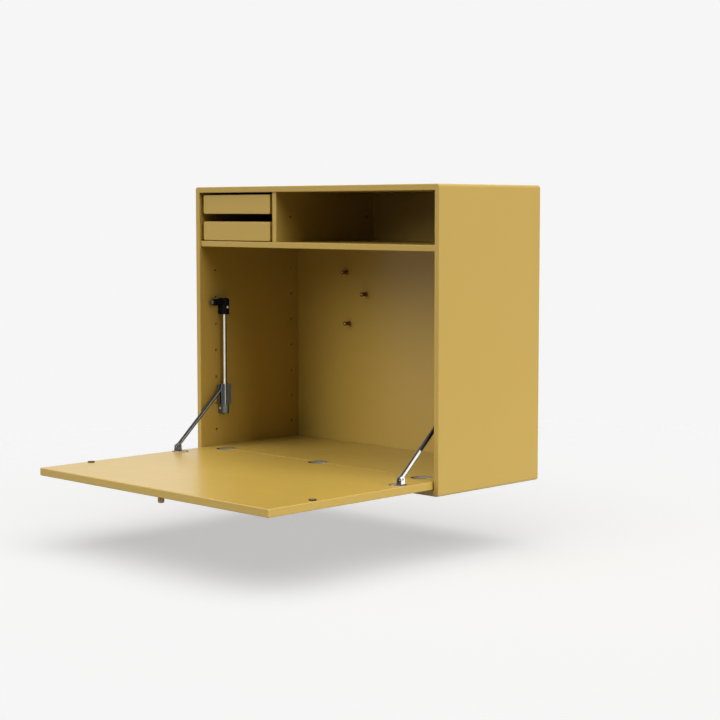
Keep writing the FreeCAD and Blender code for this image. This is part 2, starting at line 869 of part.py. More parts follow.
def wall_web(body, height, half_width):
    """Block that joins a stay fitting's barrel to the side panel."""
    web = draw_rectangle(new_sketch(body, "XY"), -size.stay_inset, -half_width, ZERO, half_width)
    pad(body, web, height)


def build_stay_foot():
    """Lower end of the rod: barrel, web to the panel and a forward lug for the fixing screw."""
    foot = new_body("left_stay_foot", stay_place, size.rod_place, size.foot_bottom)
    pad(foot, draw_circle(new_sketch(foot, "XY"), ZERO, ZERO, size.foot_radius), size.foot_height)
    wall_web(foot, size.foot_height, size.stay_web / 2)
    lug = draw_rectangle(
        new_sketch(foot, "XY"), -size.stay_inset, -size.foot_lug_reach, -size.foot_lug_gap, ZERO
    )
    pad(foot, lug, size.foot_height)
    bevel_edges(foot, size.barrel_edge_radius, lambda edge: touches(edge, "Z", 0) and not on_wall(edge))
    drill_rod_seat(foot, size.foot_height, False)
    return foot


def on_wall(edge):
    """True for an edge where a stay fitting meets the side panel."""
    return touches(edge, "X", -size.stay_inset)


def drill_rod_seat(body, height, upwards):
    """Blind bore for the end of the rod, from the fitting's upper face or from its underside."""
    seat = new_sketch(body, "XY", height)
    draw_circle(seat, ZERO, ZERO, size.rod_radius + size.running_clearance)
    pocket(body, seat, size.rod_seat, reverse=upwards)


def build_stay_bracket():
    """Black elbow at the rod's upper end; its forward boss carries the catch magnet."""
    bracket = new_body("left_stay_bracket", stay_place, size.rod_place, size.bracket_bottom)
    height = size.bracket_height
    pad(bracket, draw_circle(new_sketch(bracket, "XY"), ZERO, ZERO, size.barrel_radius), height)
    wall_web(bracket, height, size.stay_web / 2)
    round_edges(
        bracket, size.bracket_top_radius, lambda edge: touches(edge, "Z", height) and not on_wall(edge)
    )
    boss_reach = size.rod_place - boss_tip
    boss_z = height - size.boss_drop
    boss = draw_circle(new_sketch(bracket, "XZ"), ZERO, boss_z, size.boss_radius)
    pad(bracket, boss, boss_reach)
    bevel_edges(bracket, size.barrel_edge_radius, lambda edge: touches(edge, "Y", -boss_reach))
    hollow = new_sketch(bracket, "XZ", boss_reach)
    draw_circle(hollow, ZERO, boss_z, size.magnet_radius + size.cup_clearance)
    pocket(bracket, hollow, size.magnet_length + size.cup_clearance)
    drill_rod_seat(bracket, ZERO, True)
    return bracket


def build_magnet():
    magnet = new_body("left_catch_magnet", stay_place, boss_tip + size.magnet_length, boss_height)
    disc = draw_circle(new_sketch(magnet, "XZ"), ZERO, ZERO, size.magnet_radius)
    pad(magnet, disc, size.magnet_length)
    return magnet


def build_rod():
    seat = size.rod_seat - size.running_clearance
    low = size.foot_bottom + size.foot_height - seat
    rod = new_body("left_stay_rod", stay_place, size.rod_place, low)
    pad(rod, draw_circle(new_sketch(rod, "XY"), ZERO, ZERO, size.rod_radius),
        size.bracket_bottom + seat - low)
    return rod


def build_slider():
    """Brake body: a barrel round the rod with a flat, open side that shows it, a rear rib, and a
    fork in front that takes the arm's eye."""
    slider = new_body("left_slider", stay_place, size.rod_place, slider_bottom)
    height = size.slider_height
    pad(slider, draw_circle(new_sketch(slider, "XY"), ZERO, ZERO, size.barrel_radius), height)
    rib = size.slider_rib_width / 2
    fork = size.fork_width / 2
    pad(slider, draw_rectangle(new_sketch(slider, "XY"), -rib, ZERO, rib, size.slider_rib_reach), height)
    pad(slider, draw_rectangle(new_sketch(slider, "XY"), -fork, -size.fork_reach, fork, ZERO), height)
    round_edges(
        slider, size.barrel_edge_radius,
        lambda edge: touches(edge, "Y", -size.fork_reach) and not runs_along(edge, "Z")
        or touches(edge, "Y", size.slider_rib_reach),
    )
    slot = size.arm_thickness / 2 + size.arm_side_gap
    channel = draw_rectangle(
        new_sketch(slider, "XY", height), -slot, -size.fork_reach, slot,
        size.fork_slot_depth - size.fork_reach,
    )
    pocket(slider, channel, height)
    bore_radius = size.rod_radius + size.running_clearance
    bore = new_sketch(slider, "XY", height)
    draw_circle(bore, ZERO, ZERO, bore_radius)
    pocket(slider, bore, height)
    flat = new_sketch(slider, "XY", height)
    draw_rectangle(flat, size.slider_flat, -size.barrel_radius, size.barrel_radius, size.barrel_radius)
    pocket(slider, flat, height)
    mouth = draw_outline(
        new_sketch(slider, "XY", height),
        [
            (ZERO, -bore_radius), (size.slider_flat - size.mouth_flare, -bore_radius),
            (size.slider_flat, -bore_radius - size.mouth_flare),
            (size.slider_flat, bore_radius), (ZERO, bore_radius),
        ],
    )
    pocket(slider, mouth, height)
    for side in (-1, 1):
        rivet = new_sketch(slider, "YZ", side * fork)
        draw_circle(rivet, -size.slider_pivot_reach, size.slider_pivot_height, size.rivet_radius)
        pad(slider, rivet, size.rivet_height, reverse=side < 0)
    return slider


def build_arm():
    """Flat bar with an eye at each end, drawn along its own y and tilted to the slider's pivot."""
    run = pivot_place + size.socket_reach
    rise = pivot_height - socket_height
    length = root(run * run + rise * rise)
    arm = new_body("left_arm", stay_place, -size.socket_reach, socket_height)
    arm.Placement = FreeCAD.Placement(FreeCAD.Vector(), FreeCAD.Rotation(FreeCAD.Vector(1, 0, 0), 1))
    bind(arm, "Placement.Rotation.Angle", slope(rise, run))
    half = size.arm_width / 2
    bar = draw_rectangle(new_sketch(arm, "YZ"), ZERO, -half, length, half)
    pad(arm, bar, size.arm_thickness, both_ways=True)
    round_edges(arm, size.arm_thickness / 4, lambda edge: runs_along(edge, "Y"))
    for end in (ZERO, length):
        eye = draw_circle(new_sketch(arm, "YZ"), end, ZERO, size.eye_radius)
        pad(arm, eye, size.arm_thickness, both_ways=True)
    for end in (ZERO, length):
        hole = draw_circle(new_sketch(arm, "YZ"), end, ZERO, size.pivot_radius + size.running_clearance)
        pocket(arm, hole, size.arm_thickness, both_ways=True)
    return arm


# Trays

def build_tray(name, floor):
    """Front, two grooved sides, back and bottom of one tray."""
    left = inner_left + size.tray_side_gap
    box_start = size.tray_recess + size.tray_front_thickness
    box_depth = back_face - size.tray_back_gap - box_start
    box_floor = floor + size.tray_bottom_lift
    wall = size.tray_wall

    front = new_body(f"{name}_front", left, size.tray_recess, floor)
    pad(front, draw_rectangle(new_sketch(front, "XZ"), ZERO, ZERO, tray_width, tray_height),
        size.tray_front_thickness, reverse=True)
    round_edges(front, size.tray_corner_radius, lambda edge: runs_along(edge, "Y"))
    round_edges(front, size.edge_radius, lambda edge: touches(edge, "Y", 0))

    sides = []
    groove_low = runner_lift - size.tray_bottom_lift - size.runner_gap
    groove_depth = size.runner_bite + size.runner_gap
    for side, x, mouth in (("left", left, ZERO), ("right", left + tray_width - wall, wall - groove_depth)):
        panel = new_body(f"{name}_{side}_side", x, box_start, box_floor)
        pad(panel, draw_rectangle(new_sketch(panel, "XY"), ZERO, ZERO, wall, box_depth), tray_wall_height)
        groove = draw_rectangle(
            new_sketch(panel, "XZ", -box_depth), mouth, groove_low,
            mouth + groove_depth, groove_low + size.runner_height + 2 * size.runner_gap,
        )
        pocket(panel, groove, box_depth, reverse=True)
        sides.append(panel)

    inside = tray_width - 2 * wall
    back = new_body(f"{name}_back", left + wall, box_start + box_depth - wall, box_floor)
    pad(back, draw_rectangle(new_sketch(back, "XY"), ZERO, ZERO, inside, wall), tray_wall_height)
    bottom = new_body(f"{name}_bottom", left + wall, box_start, box_floor)
    pad(bottom, draw_rectangle(new_sketch(bottom, "XY"), ZERO, ZERO, inside, box_depth - wall),
        size.tray_bottom)
    return [front, *sides, back, bottom]


def build_runners(name, floor):
    """Strip on each wall of the tray bay; the tray's side grooves run on them."""
    reach = size.tray_side_gap + size.runner_bite
    length = back_face - size.runner_start
    runners = []
    for side, x in (("left", inner_left), ("right", size.divider_place - reach)):
        strip = new_body(f"{name}_{side}_runner", x, size.runner_start, floor + runner_lift)
        pad(strip, draw_rectangle(new_sketch(strip, "XY"), ZERO, ZERO, reach, length), size.runner_height)
        runners.append(strip)
    return runners


# Assembly

def build_carcass():
    side = build_side_panel()
    return [
        side, mirrored("right_side_panel", side), build_bottom_board(), build_top_board(),
        build_back_panel(), build_base_panel(), build_shelf(), build_shelf_dowels(),
        build_divider(), build_divider_dowels(), build_hanging_rail(), build_pegs(),
    ]


def build_hinges():
    pieces = []
    for side, x in zip(("left", "middle", "right"), hinge_places()):
        pieces.append(build_hinge_cup(f"{side}_hinge_base", x))
        pieces.append(build_flap_cup(f"{side}_hinge_cup", x))
        pieces.append(build_hinge_pin(f"{side}_hinge_pin", x))
    return pieces


def build_stays():
    """Left stay and its mirror image."""
    builders = (
        build_stay_foot, build_stay_bracket, build_magnet, build_rod, build_slider, build_arm,
        build_arm_socket, build_socket_pin, build_strike,
    )
    left = [build() for build in builders]
    return left + [mirrored(piece.Label.replace("left", "right"), piece) for piece in left]


def build_trays():
    pieces = []
    for name, floor in (("lower_tray", lower_tray_floor), ("upper_tray", upper_tray_floor)):
        pieces += build_tray(name, floor) + build_runners(name, floor)
    return pieces


def check_document():
    for thing in doc.Objects:
        if {"Invalid", "Error"} & set(thing.State):
            raise ValueError(f"{thing.Label} failed: {thing.State}")


def export(pieces):
    os.makedirs("parts", exist_ok=True)
    for piece in pieces:
        shape = piece.Shape
        if shape.isNull() or not shape.isValid():
            raise ValueError(f"{piece.Label} has no valid shape")
    for piece in pieces:
        piece.Shape.exportStep(f"parts/{piece.Label}.step")


pieces = build_carcass() + build_hinges() + [build_flap(), build_knob()] + build_stays() + build_trays()
doc.recompute()
check_document()
export(pieces)
print(f"{len(pieces)} pieces")
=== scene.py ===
"""Studio scene of a wall-hung writing desk whose front folds down on braked stays.

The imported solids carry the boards, hinges and stays. This script gives every board and fitting
its finish, adds the small turned and moulded pieces, and sets up the studio.
"""

import json
import logging
import math
from dataclasses import dataclass, field
from enum import Enum
from typing import ClassVar, Iterable

import bmesh
import bpy
from mathutils import Matrix, Vector

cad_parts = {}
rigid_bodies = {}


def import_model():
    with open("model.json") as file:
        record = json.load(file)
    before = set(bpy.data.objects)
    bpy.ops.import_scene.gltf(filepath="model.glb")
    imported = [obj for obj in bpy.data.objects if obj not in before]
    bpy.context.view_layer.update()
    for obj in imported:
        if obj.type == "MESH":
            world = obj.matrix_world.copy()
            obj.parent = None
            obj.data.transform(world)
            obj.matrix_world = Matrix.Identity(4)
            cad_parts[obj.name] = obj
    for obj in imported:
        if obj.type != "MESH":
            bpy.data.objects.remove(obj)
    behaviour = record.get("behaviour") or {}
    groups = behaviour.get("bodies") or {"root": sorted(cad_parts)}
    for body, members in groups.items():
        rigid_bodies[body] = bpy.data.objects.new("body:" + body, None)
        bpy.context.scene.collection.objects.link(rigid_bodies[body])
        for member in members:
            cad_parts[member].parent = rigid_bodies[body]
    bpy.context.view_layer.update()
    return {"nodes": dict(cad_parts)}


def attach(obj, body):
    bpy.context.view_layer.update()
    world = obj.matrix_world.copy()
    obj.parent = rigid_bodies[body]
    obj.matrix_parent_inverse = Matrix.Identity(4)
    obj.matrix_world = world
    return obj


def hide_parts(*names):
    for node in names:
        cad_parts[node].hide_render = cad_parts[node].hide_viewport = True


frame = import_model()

Colour = tuple[float, float, float, float]
Triple = tuple[float, float, float]
Pair = tuple[float, float]
Profile = tuple[Pair, ...]
Socket = bpy.types.NodeSocket
Material = bpy.types.Material

LOG = logging.getLogger("wall_desk")
MM = 0.001
CABINET_WIDTH = 696.0
CABINET_DEPTH = 295.0
SCREW_HEIGHT = 520.0
MIX_COLOUR_SOCKETS = (0, 6, 7)
MIX_COLOUR_RESULT = 2
NOISE_SPAN = (0.3, 0.7)
EVEN = (1.0, 1.0, 1.0)
WHITE = (1.0, 1.0, 1.0, 1.0)
SHARP_FOR_SHADING = math.radians(32)
SHARP_FOR_CHAMFER = math.radians(30)
FORWARDS = Vector((0, -1, 0))
UPWARDS = Vector((0, 0, 1))


def desk_point(x: float, y: float, z: float) -> Vector:
    """Turn millimetres from the left end, the front and the underside into the model's frame."""
    return Vector((x - CABINET_WIDTH / 2, y - CABINET_DEPTH, z - SCREW_HEIGHT)) * MM


def srgb(red: int, green: int, blue: int) -> Colour:
    """Turn a colour on the usual 0 to 255 scale into the linear one that shaders read.

    Args:
        red: Red, 0 to 255.
        green: Green, 0 to 255.
        blue: Blue, 0 to 255.

    Returns:
        Linear red, green and blue with a full alpha.
    """
    def one(part: int) -> float:
        """Linear value of one channel."""
        share = part / 255
        return share / 12.92 if share <= 0.04045 else ((share + 0.055) / 1.055) ** 2.4

    return one(red), one(green), one(blue), 1.0


class Body(Enum):
    """The rigid bodies that the added pieces ride on."""

    CABINET = "cabinet"
    FLAP = "flap"
    LEFT_SLIDER = "left_slider"
    RIGHT_SLIDER = "right_slider"


class Side(Enum):
    """The two ends of the cabinet; everything on the right mirrors the left."""

    LEFT = "left"
    RIGHT = "right"

    def x(self, from_left: float) -> float:
        """Place across the cabinet of something that lies this far in from its own end."""
        return from_left if self is Side.LEFT else CABINET_WIDTH - from_left

    def inwards(self, amount: float = 1.0) -> float:
        """An amount along x that points from this end to the cabinet's middle."""
        return amount if self is Side.LEFT else -amount


class Lit(Enum):
    """What a lamp shines on."""

    DESK = "lit_desk"
    FLOOR = "lit_floor"


@dataclass(frozen=True)
class Skin:
    """Fine relief of a surface.

    The scale is in waves per metre and the depth in metres, of which only a share shows.
    """

    scale: float
    detail: float
    depth: float
    share: float


DRAWN_LINES = Skin(1500.0, 3.0, 0.000012, 0.35)
POLISHED_LINES = Skin(1500.0, 3.0, 0.000002, 0.35)
CAST_PEBBLES = Skin(2600.0, 2.0, 0.00003, 0.4)
MOULD_GRAIN = Skin(3800.0, 2.0, 0.00003, 0.45)
LACQUER_PEEL = Skin(620.0, 2.0, 0.00002, 0.5)
BEECH_FLECKS = Skin(900.0, 5.0, 0.00005, 0.5)


class NodeTree:
    """Shader nodes of one tree, with short ways to add and join them."""

    def __init__(self, tree: bpy.types.NodeTree) -> None:
        """Empty the tree of a material or of the world."""
        self.tree = tree
        self.tree.nodes.clear()

    def link(self, source: Socket, target: Socket) -> None:
        """Join an output socket to an input socket."""
        self.tree.links.new(source, target)

    def node(self, kind: str, **values: object) -> bpy.types.Node:
        """Add a node.

        Args:
            kind: Blender's name of the node type.
            **values: Values of input sockets, with spaces in their names as underscores.

        Returns:
            The new node.
        """
        made = self.tree.nodes.new(kind)
        self.fill(made, values)
        return made

    def fill(self, node: bpy.types.Node, values: dict[str, object]) -> None:
        """Set constants on a node's own input sockets."""
        for name, value in values.items():
            node.inputs[name.replace("_", " ")].default_value = value

    def calculate(self, operation: str, *values: Socket | float) -> Socket:
        """Work out a number from one or two others.

        Args:
            operation: Blender's name of the operation.
            *values: Sockets to read, or plain numbers.

        Returns:
            The result.
        """
        made = self.tree.nodes.new("ShaderNodeMath")
        made.operation = operation
        for place, value in zip(made.inputs, values):
            if isinstance(value, float):
                place.default_value = value
            else:
                self.link(value, place)
        return made.outputs[0]

    def seen(self) -> Socket:
        """Tell the camera's rays, also in a mirror or through glass, from the others.

        Returns:
            One for them and zero for the rest.
        """
        path = self.tree.nodes.new("ShaderNodeLightPath").outputs
        mirrored = self.calculate("MAXIMUM", path["Is Glossy Ray"], path["Is Transmission Ray"])
        return self.calculate("MAXIMUM", path["Is Camera Ray"], mirrored)

    def mixed(self, share: Socket, first: Socket, second: Socket) -> Socket:
        """Mix two shaders.

        Args:
            share: Share of the second one.
            first: Shader where the share is 0.
            second: Shader where it is 1.

        Returns:
            The mixed shader.
        """
        made = self.tree.nodes.new("ShaderNodeMixShader")
        for place, source in zip(made.inputs, (share, first, second)):
            self.link(source, place)
        return made.outputs[0]


class NodeGraph(NodeTree):
    """Shader graph of one material, built round a single surface shader."""

    def __init__(self, name: str) -> None:
        """Start the material.

        Args:
            name: Name of the material.
        """
        self.material = bpy.data.materials.new(name)
        self.material.use_nodes = True
        super().__init__(self.material.node_tree)
        self.output = self.tree.nodes.new("ShaderNodeOutputMaterial")
        self.shader = self.tree.nodes.new("ShaderNodeBsdfPrincipled")
        self.link(self.shader.outputs["BSDF"], self.output.inputs["Surface"])

    def surface(self, **values: object) -> None:
        """Set constants on the surface shader's own sockets."""
        self.fill(self.shader, values)

    def place(self, kind: str = "POINT", **values: object) -> Socket:
        """Object coordinates, moved, turned or stretched.

        Args:
            kind: How Blender maps them.
            **values: Location, Rotation or Scale. A small scale draws a pattern out.

        Returns:
            The vector socket that textures read.
        """
        source = self.tree.nodes.new("ShaderNodeTexCoord")
        mapping = self.node("ShaderNodeMapping", **values)
        mapping.vector_type = kind
        self.link(source.outputs["Object"], mapping.inputs["Vector"])
        return mapping.outputs["Vector"]

    def split(self, centre: Vector, turn: Triple = (0.0, 0.0, 0.0)) -> dict[str, Socket]:
        """Place on a part in its own frame, as single axes.

        Args:
            centre: The part's own centre in metres.
            turn: Degrees about x, y and z from the model's axes to the part's.

        Returns:
            The sockets X, Y and Z that give the place in millimetres.
        """
        angles = [math.radians(angle) for angle in turn]
        axes = self.tree.nodes.new("ShaderNodeSeparateXYZ")
        place = self.place("TEXTURE", Location=centre, Rotation=angles, Scale=(MM, MM, MM))
        self.link(place, axes.inputs["Vector"])
        return {name: axes.outputs[name] for name in "XYZ"}

    def noise(self, scale: float, detail: float = 3.0, stretch: Triple = EVEN) -> Socket:
        """Soft noise over the surface.

        Args:
            scale: Waves per metre, roughly.
            detail: Number of finer octaves.
            stretch: Factor on x, y and z; a small one draws it out along that axis.

        Returns:
            The factor socket, about 0.5 on average.
        """
        made = self.node("ShaderNodeTexNoise", Scale=scale, Detail=detail, Roughness=0.55)
        self.link(self.place(Scale=stretch), made.inputs["Vector"])
        return made.outputs["Fac"]

    def between(
        self, factor: Socket, span: Pair = NOISE_SPAN, low: float = 0.0, high: float = 1.0
    ) -> Socket:
        """Spread a factor over a range of numbers.

        Args:
            factor: Socket to read.
            span: Part of the factor's own range that is used.
            low: Number at the span's start.
            high: Number at its end.

        Returns:
            The spread value.
        """
        made = self.node(
            "ShaderNodeMapRange", From_Min=span[0], From_Max=span[1], To_Min=low, To_Max=high
        )
        self.link(factor, made.inputs["Value"])
        return made.outputs["Result"]

    def plain(self, colour: Colour) -> Socket:
        """Even colour that can be mixed with varying ones.

        Args:
            colour: The colour.

        Returns:
            Its socket.
        """
        made = self.tree.nodes.new("ShaderNodeRGB")
        made.outputs[0].default_value = colour
        return made.outputs[0]

    def bands(self, factor: Socket, stops: Iterable[tuple[float, Colour]]) -> Socket:
        """Colour by several stops along a factor.

        Args:
            factor: Socket to read.
            stops: Place from 0 to 1 and colour of each stop, in order.

        Returns:
            The colour.
        """
        made = self.tree.nodes.new("ShaderNodeValToRGB")
        ramp = made.color_ramp.elements
        ramp.remove(ramp[1])
        for number, (position, colour) in enumerate(stops):
            stop = ramp.new(position) if number else ramp[0]
            stop.position = position
            stop.color = colour
        self.link(factor, made.inputs["Fac"])
        return made.outputs["Color"]

    def colours(self, factor: Socket, low: Colour, high: Colour) -> Socket:
        """Blend two colours over the span where a noise has nearly all its values."""
        return self.bands(factor, zip(NOISE_SPAN, (low, high)))

    def blend(self, factor: Socket, low: Socket, high: Socket) -> Socket:
        """Mix two varying colours.

        Args:
            factor: Socket to read.
            low: Colour where the factor is 0.
            high: Colour where it is 1.

        Returns:
            The mixed colour.
        """
        made = self.tree.nodes.new("ShaderNodeMix")
        made.data_type = "RGBA"
        for number, source in zip(MIX_COLOUR_SOCKETS, (factor, low, high)):
            self.link(source, made.inputs[number])
        return made.outputs[MIX_COLOUR_RESULT]

    def paint(self, colour: Socket) -> None:
        """Give the surface a varying colour."""
        self.link(colour, self.shader.inputs["Base Color"])

    def tint(self, factor: Socket, colour: Colour, tones: Pair) -> None:
        """Colour the surface between two tones of one colour, by a factor."""
        low, high = (toned(colour, tone) for tone in tones)
        self.paint(self.colours(factor, low, high))

    def gloss(self, factor: Socket, sheen: Pair, span: Pair = NOISE_SPAN) -> None:
        """Vary the roughness between two values by a factor."""
        self.link(self.between(factor, span, *sheen), self.shader.inputs["Roughness"])

    def cover(self, skin: Skin, stretch: Triple = EVEN) -> Socket:
        """Cover the surface with a fine relief.

        Args:
            skin: The relief.
            stretch: Factor on x, y and z; a small one draws it out along that axis.

        Returns:
            The relief's own noise, for tones that follow it.
        """
        height = self.noise(skin.scale, skin.detail, stretch)
        made = self.node("ShaderNodeBump", Strength=skin.share, Distance=skin.depth)
        self.link(height, made.inputs["Height"])
        self.link(made.outputs["Normal"], self.shader.inputs["Normal"])
        return height


def toned(colour: Colour, factor: float) -> Colour:
    """The same colour made lighter or darker by a factor."""
    return colour[0] * factor, colour[1] * factor, colour[2] * factor, 1.0


@dataclass(frozen=True)
class Lacquer:
    """Sprayed lacquer on board: even colour, a slight orange peel and a satin sheen."""

    name: str
    colour: Colour
    tones: Pair = (0.975, 1.025)
    sheen: Pair = (0.275, 0.33)
    ior: float = 1.5
    cloud_scale: float = 2.2
    haze_scale: float = 34.0

    def material(self) -> Material:
        """Build the lacquer's material.

        Returns:
            The material.
        """
        graph = NodeGraph(self.name)
        graph.tint(graph.noise(self.cloud_scale, detail=2.0), self.colour, self.tones)
        graph.gloss(graph.noise(self.haze_scale, detail=4.0), self.sheen)
        graph.surface(IOR=self.ior)
        graph.cover(LACQUER_PEEL)
        return graph.material


@dataclass(frozen=True)
class DrawnSteel:
    """Rolled or drawn steel, plated: fine lines along one axis and a soft gloss."""

    name: str
    colour: Colour
    sheen: Pair
    metallic: float
    grain: Triple = EVEN
    tones: Pair = (0.93, 1.04)

    def material(self) -> Material:
        """Build the steel's material.

        Returns:
            The material.
        """
        graph = NodeGraph(self.name)
        lines = graph.cover(DRAWN_LINES, self.grain)
        graph.tint(lines, self.colour, self.tones)
        graph.gloss(lines, self.sheen)
        graph.surface(Metallic=self.metallic)
        return graph.material


@dataclass(frozen=True)
class PaintedLightBar:
    """Flat steel bar with rounded edges, painted highlight outside, painted shade inside, painted
    darker reflection on the edges.
    """

    name: str
    painted_highlight: Colour
    matt_and_painted_shade: Colour
    painted_dark_reflection: Colour
    foot: Triple = (348.0, -74.7, 40.0)
    slope: float = 42.776
    middle: Pair = (321.5, 323.5)
    painted_streak: Pair = (0.4, 2.0)
    streak_lightness: float = 5.5
    border: Pair = (2.25, 2.75)
    highlight_end: Pair = (68.0, 72.0)
    dark_reflection_tone: float = 0.6
    sheen: Pair = (0.25, 0.5)
    metallic: float = 0.35
    grain: Triple = (1.0, 0.05, 0.05)

    def material(self) -> Material:
        """Build the bar's material.

        Returns:
            The material.
        """
        graph = NodeGraph(self.name)
        axes = graph.split(desk_point(*self.foot), (self.slope, 0.0, 0.0))
        # Painted reflection: the outer face is near-white for about its first 70 mm along the arm
        # and darker beyond.
        along = graph.between(axes["Y"], self.highlight_end)
        outer_face = graph.colours(along, self.painted_highlight, toned(self.painted_dark_reflection, self.dark_reflection_tone))
        # Painted shade on the inner face, with a lighter painted streak along its middle.
        off_axis = graph.calculate("ABSOLUTE", axes["Z"])
        painted_streak = graph.between(off_axis, self.painted_streak)
        inner_face = graph.colours(painted_streak, toned(self.matt_and_painted_shade, self.streak_lightness), self.matt_and_painted_shade)
        outwards = graph.between(graph.calculate("ABSOLUTE", axes["X"]), self.middle)
        face = graph.blend(outwards, inner_face, outer_face)
        # Painted darker reflection along the edges, which are also rougher.
        edge = graph.between(off_axis, self.border)
        graph.paint(graph.blend(edge, face, graph.plain(self.painted_dark_reflection)))
        graph.gloss(edge, self.sheen, (0.0, 1.0))
        graph.surface(Metallic=self.metallic)
        graph.cover(DRAWN_LINES, self.grain)
        return graph.material


@dataclass(frozen=True)
class ChromeWithPaintedReflection:
    """Chromed rod with a painted reflection: near-white towards the room, darker towards the end
    panel and the cabinet's depth.
    """

    name: str
    side: Side
    painted_bright: Colour
    painted_dark: Colour
    painted_dim: Colour
    inset: float = 25.5
    axis_place: float = 57.0
    radius: float = 4.0
    turn: float = 45.0
    stops: tuple[float, ...] = (0.04, 0.1, 0.56, 0.68)
    roughness: float = 0.14
    metallic: float = 0.5
    grain: Triple = (1.0, 1.0, 0.02)

    def material(self) -> Material:
        """Build the rod's material.

        Returns:
            The material.
        """
        graph = NodeGraph(f"{self.side.value}_{self.name}")
        turn = self.turn if self.side is Side.LEFT else 180.0 - self.turn
        centre = desk_point(self.side.x(self.inset), self.axis_place, 0.0)
        axes = graph.split(centre, (0.0, 0.0, turn))
        # Painted reflection: the colour is banded across the rod, darker towards the end panel and
        # the cabinet's depth, near-white towards the room and dimmer on the far side.
        place = graph.between(axes["X"], (-self.radius, self.radius))
        tones = (self.painted_dark, self.painted_bright, self.painted_bright, self.painted_dim)
        graph.paint(graph.bands(place, zip(self.stops, tones)))
        graph.surface(Metallic=self.metallic, Roughness=self.roughness)
        graph.cover(POLISHED_LINES, self.grain)
        return graph.material


@dataclass(frozen=True)
class SocketCasting:
    """Nickelled socket: a brownish disc, and a boot with painted shade on its foot, front and inner
    side and a painted highlight on its outer side.
    """

    name: str
    painted_highlight: Colour
    matt_and_painted_shade: Colour
    disc: Colour
    painted_dark: Colour
    middle: Pair = (321.5, 323.5)
    centre: Triple = (348.0, -74.7, 28.5)
    front: Pair = (-5.2, -3.8)
    base_shade_start: Pair = (0.6, 0.8)
    base_shade_end: Pair = (2.4, 2.9)
    roughness: float = 0.42
    metallic: float = 0.3

    def material(self) -> Material:
        """Build the casting's material.

        Returns:
            The material.
        """
        graph = NodeGraph(self.name)
        axes = graph.split(desk_point(*self.centre))
        # Painted highlight on the boot's outer side and painted shade on its inner side.
        outwards = graph.between(graph.calculate("ABSOLUTE", axes["X"]), self.middle)
        sides = graph.colours(outwards, self.matt_and_painted_shade, self.painted_highlight)
        painted_dark = graph.plain(self.painted_dark)
        # Painted shade on the boot's front.
        front = graph.between(axes["Y"], self.front, 1.0, 0.0)
        boot = graph.blend(front, sides, painted_dark)
        # Painted shade in a band round the boot's foot, just above the disc.
        foot = graph.between(axes["Z"], self.base_shade_start)
        low = graph.blend(foot, graph.plain(self.disc), painted_dark)
        graph.paint(graph.blend(graph.between(axes["Z"], self.base_shade_end), low, boot))
        graph.surface(Metallic=self.metallic, Roughness=self.roughness)
        graph.cover(CAST_PEBBLES)
        return graph.material


@dataclass(frozen=True)
class CastZinc:
    """Zinc casting: a fine pebbled skin with a dull plated sheen."""

    name: str
    colour: Colour
    sheen: Pair
    tones: Pair = (0.86, 1.08)
    stain_scale: float = 160.0
    metallic: float = 0.9

    def material(self) -> Material:
        """Build the casting's material.

        Returns:
            The material.
        """
        graph = NodeGraph(self.name)
        stain = graph.noise(self.stain_scale, detail=4.0)
        graph.tint(stain, self.colour, self.tones)
        graph.gloss(stain, self.sheen)
        graph.surface(Metallic=self.metallic)
        graph.cover(CAST_PEBBLES)
        return graph.material


@dataclass(frozen=True)
class MouldedPlastic:
    """Injection-moulded plastic: even colour with a fine spark-eroded grain."""

    name: str
    colour: Colour
    sheen: Pair
    ior: float = 1.48
    tones: Pair = (0.88, 1.12)
    cloud_scale: float = 90.0

    def material(self) -> Material:
        """Build the plastic's material.

        Returns:
            The material.
        """
        graph = NodeGraph(self.name)
        graph.tint(graph.noise(self.cloud_scale), self.colour, self.tones)
        graph.gloss(graph.cover(MOULD_GRAIN), self.sheen)
        graph.surface(IOR=self.ior)
        return graph.material


@dataclass(frozen=True)
class SlottedPlastic:
    """Moulded plastic of the sliders, painted near-black shade inside the slot that takes the arm's
    eye.
    """

    name: str
    colour: Colour
    painted_slot_shade: Colour
    middle: float = 322.5
    rod_place: float = 57.0
    slot_side: Pair = (2.444, 2.496)
    slot_floor: Pair = (-5.3, -5.1)
    sheen: Pair = (0.38, 0.48)
    ior: float = 1.48

    def material(self) -> Material:
        """Build the plastic's material.

        Returns:
            The material.
        """
        graph = NodeGraph(self.name)
        axes = graph.split(desk_point(CABINET_WIDTH / 2, self.rod_place, 0.0))
        # Painted shade: near-black inside the slot, between its sides and in front of its floor.
        aside = graph.calculate("ABSOLUTE", axes["X"])
        off_slot = graph.calculate("SUBTRACT", aside, self.middle)
        beside = graph.between(graph.calculate("ABSOLUTE", off_slot), self.slot_side)
        behind = graph.between(axes["Y"], self.slot_floor)
        outside = graph.calculate("MAXIMUM", beside, behind)
        graph.paint(graph.colours(outside, self.painted_slot_shade, self.colour))
        graph.gloss(graph.cover(MOULD_GRAIN), self.sheen)
        graph.surface(IOR=self.ior)
        return graph.material


@dataclass(frozen=True)
class Beech:
    """Bare beech with short flecks along the grain."""

    name: str
    colour: Colour
    grain: Triple
    tones: Pair = (0.72, 1.1)
    roughness: float = 0.62

    def material(self) -> Material:
        """Build the wood's material.

        Returns:
            The material.
        """
        graph = NodeGraph(self.name)
        graph.tint(graph.cover(BEECH_FLECKS, self.grain), self.colour, self.tones)
        graph.surface(Roughness=self.roughness)
        return graph.material


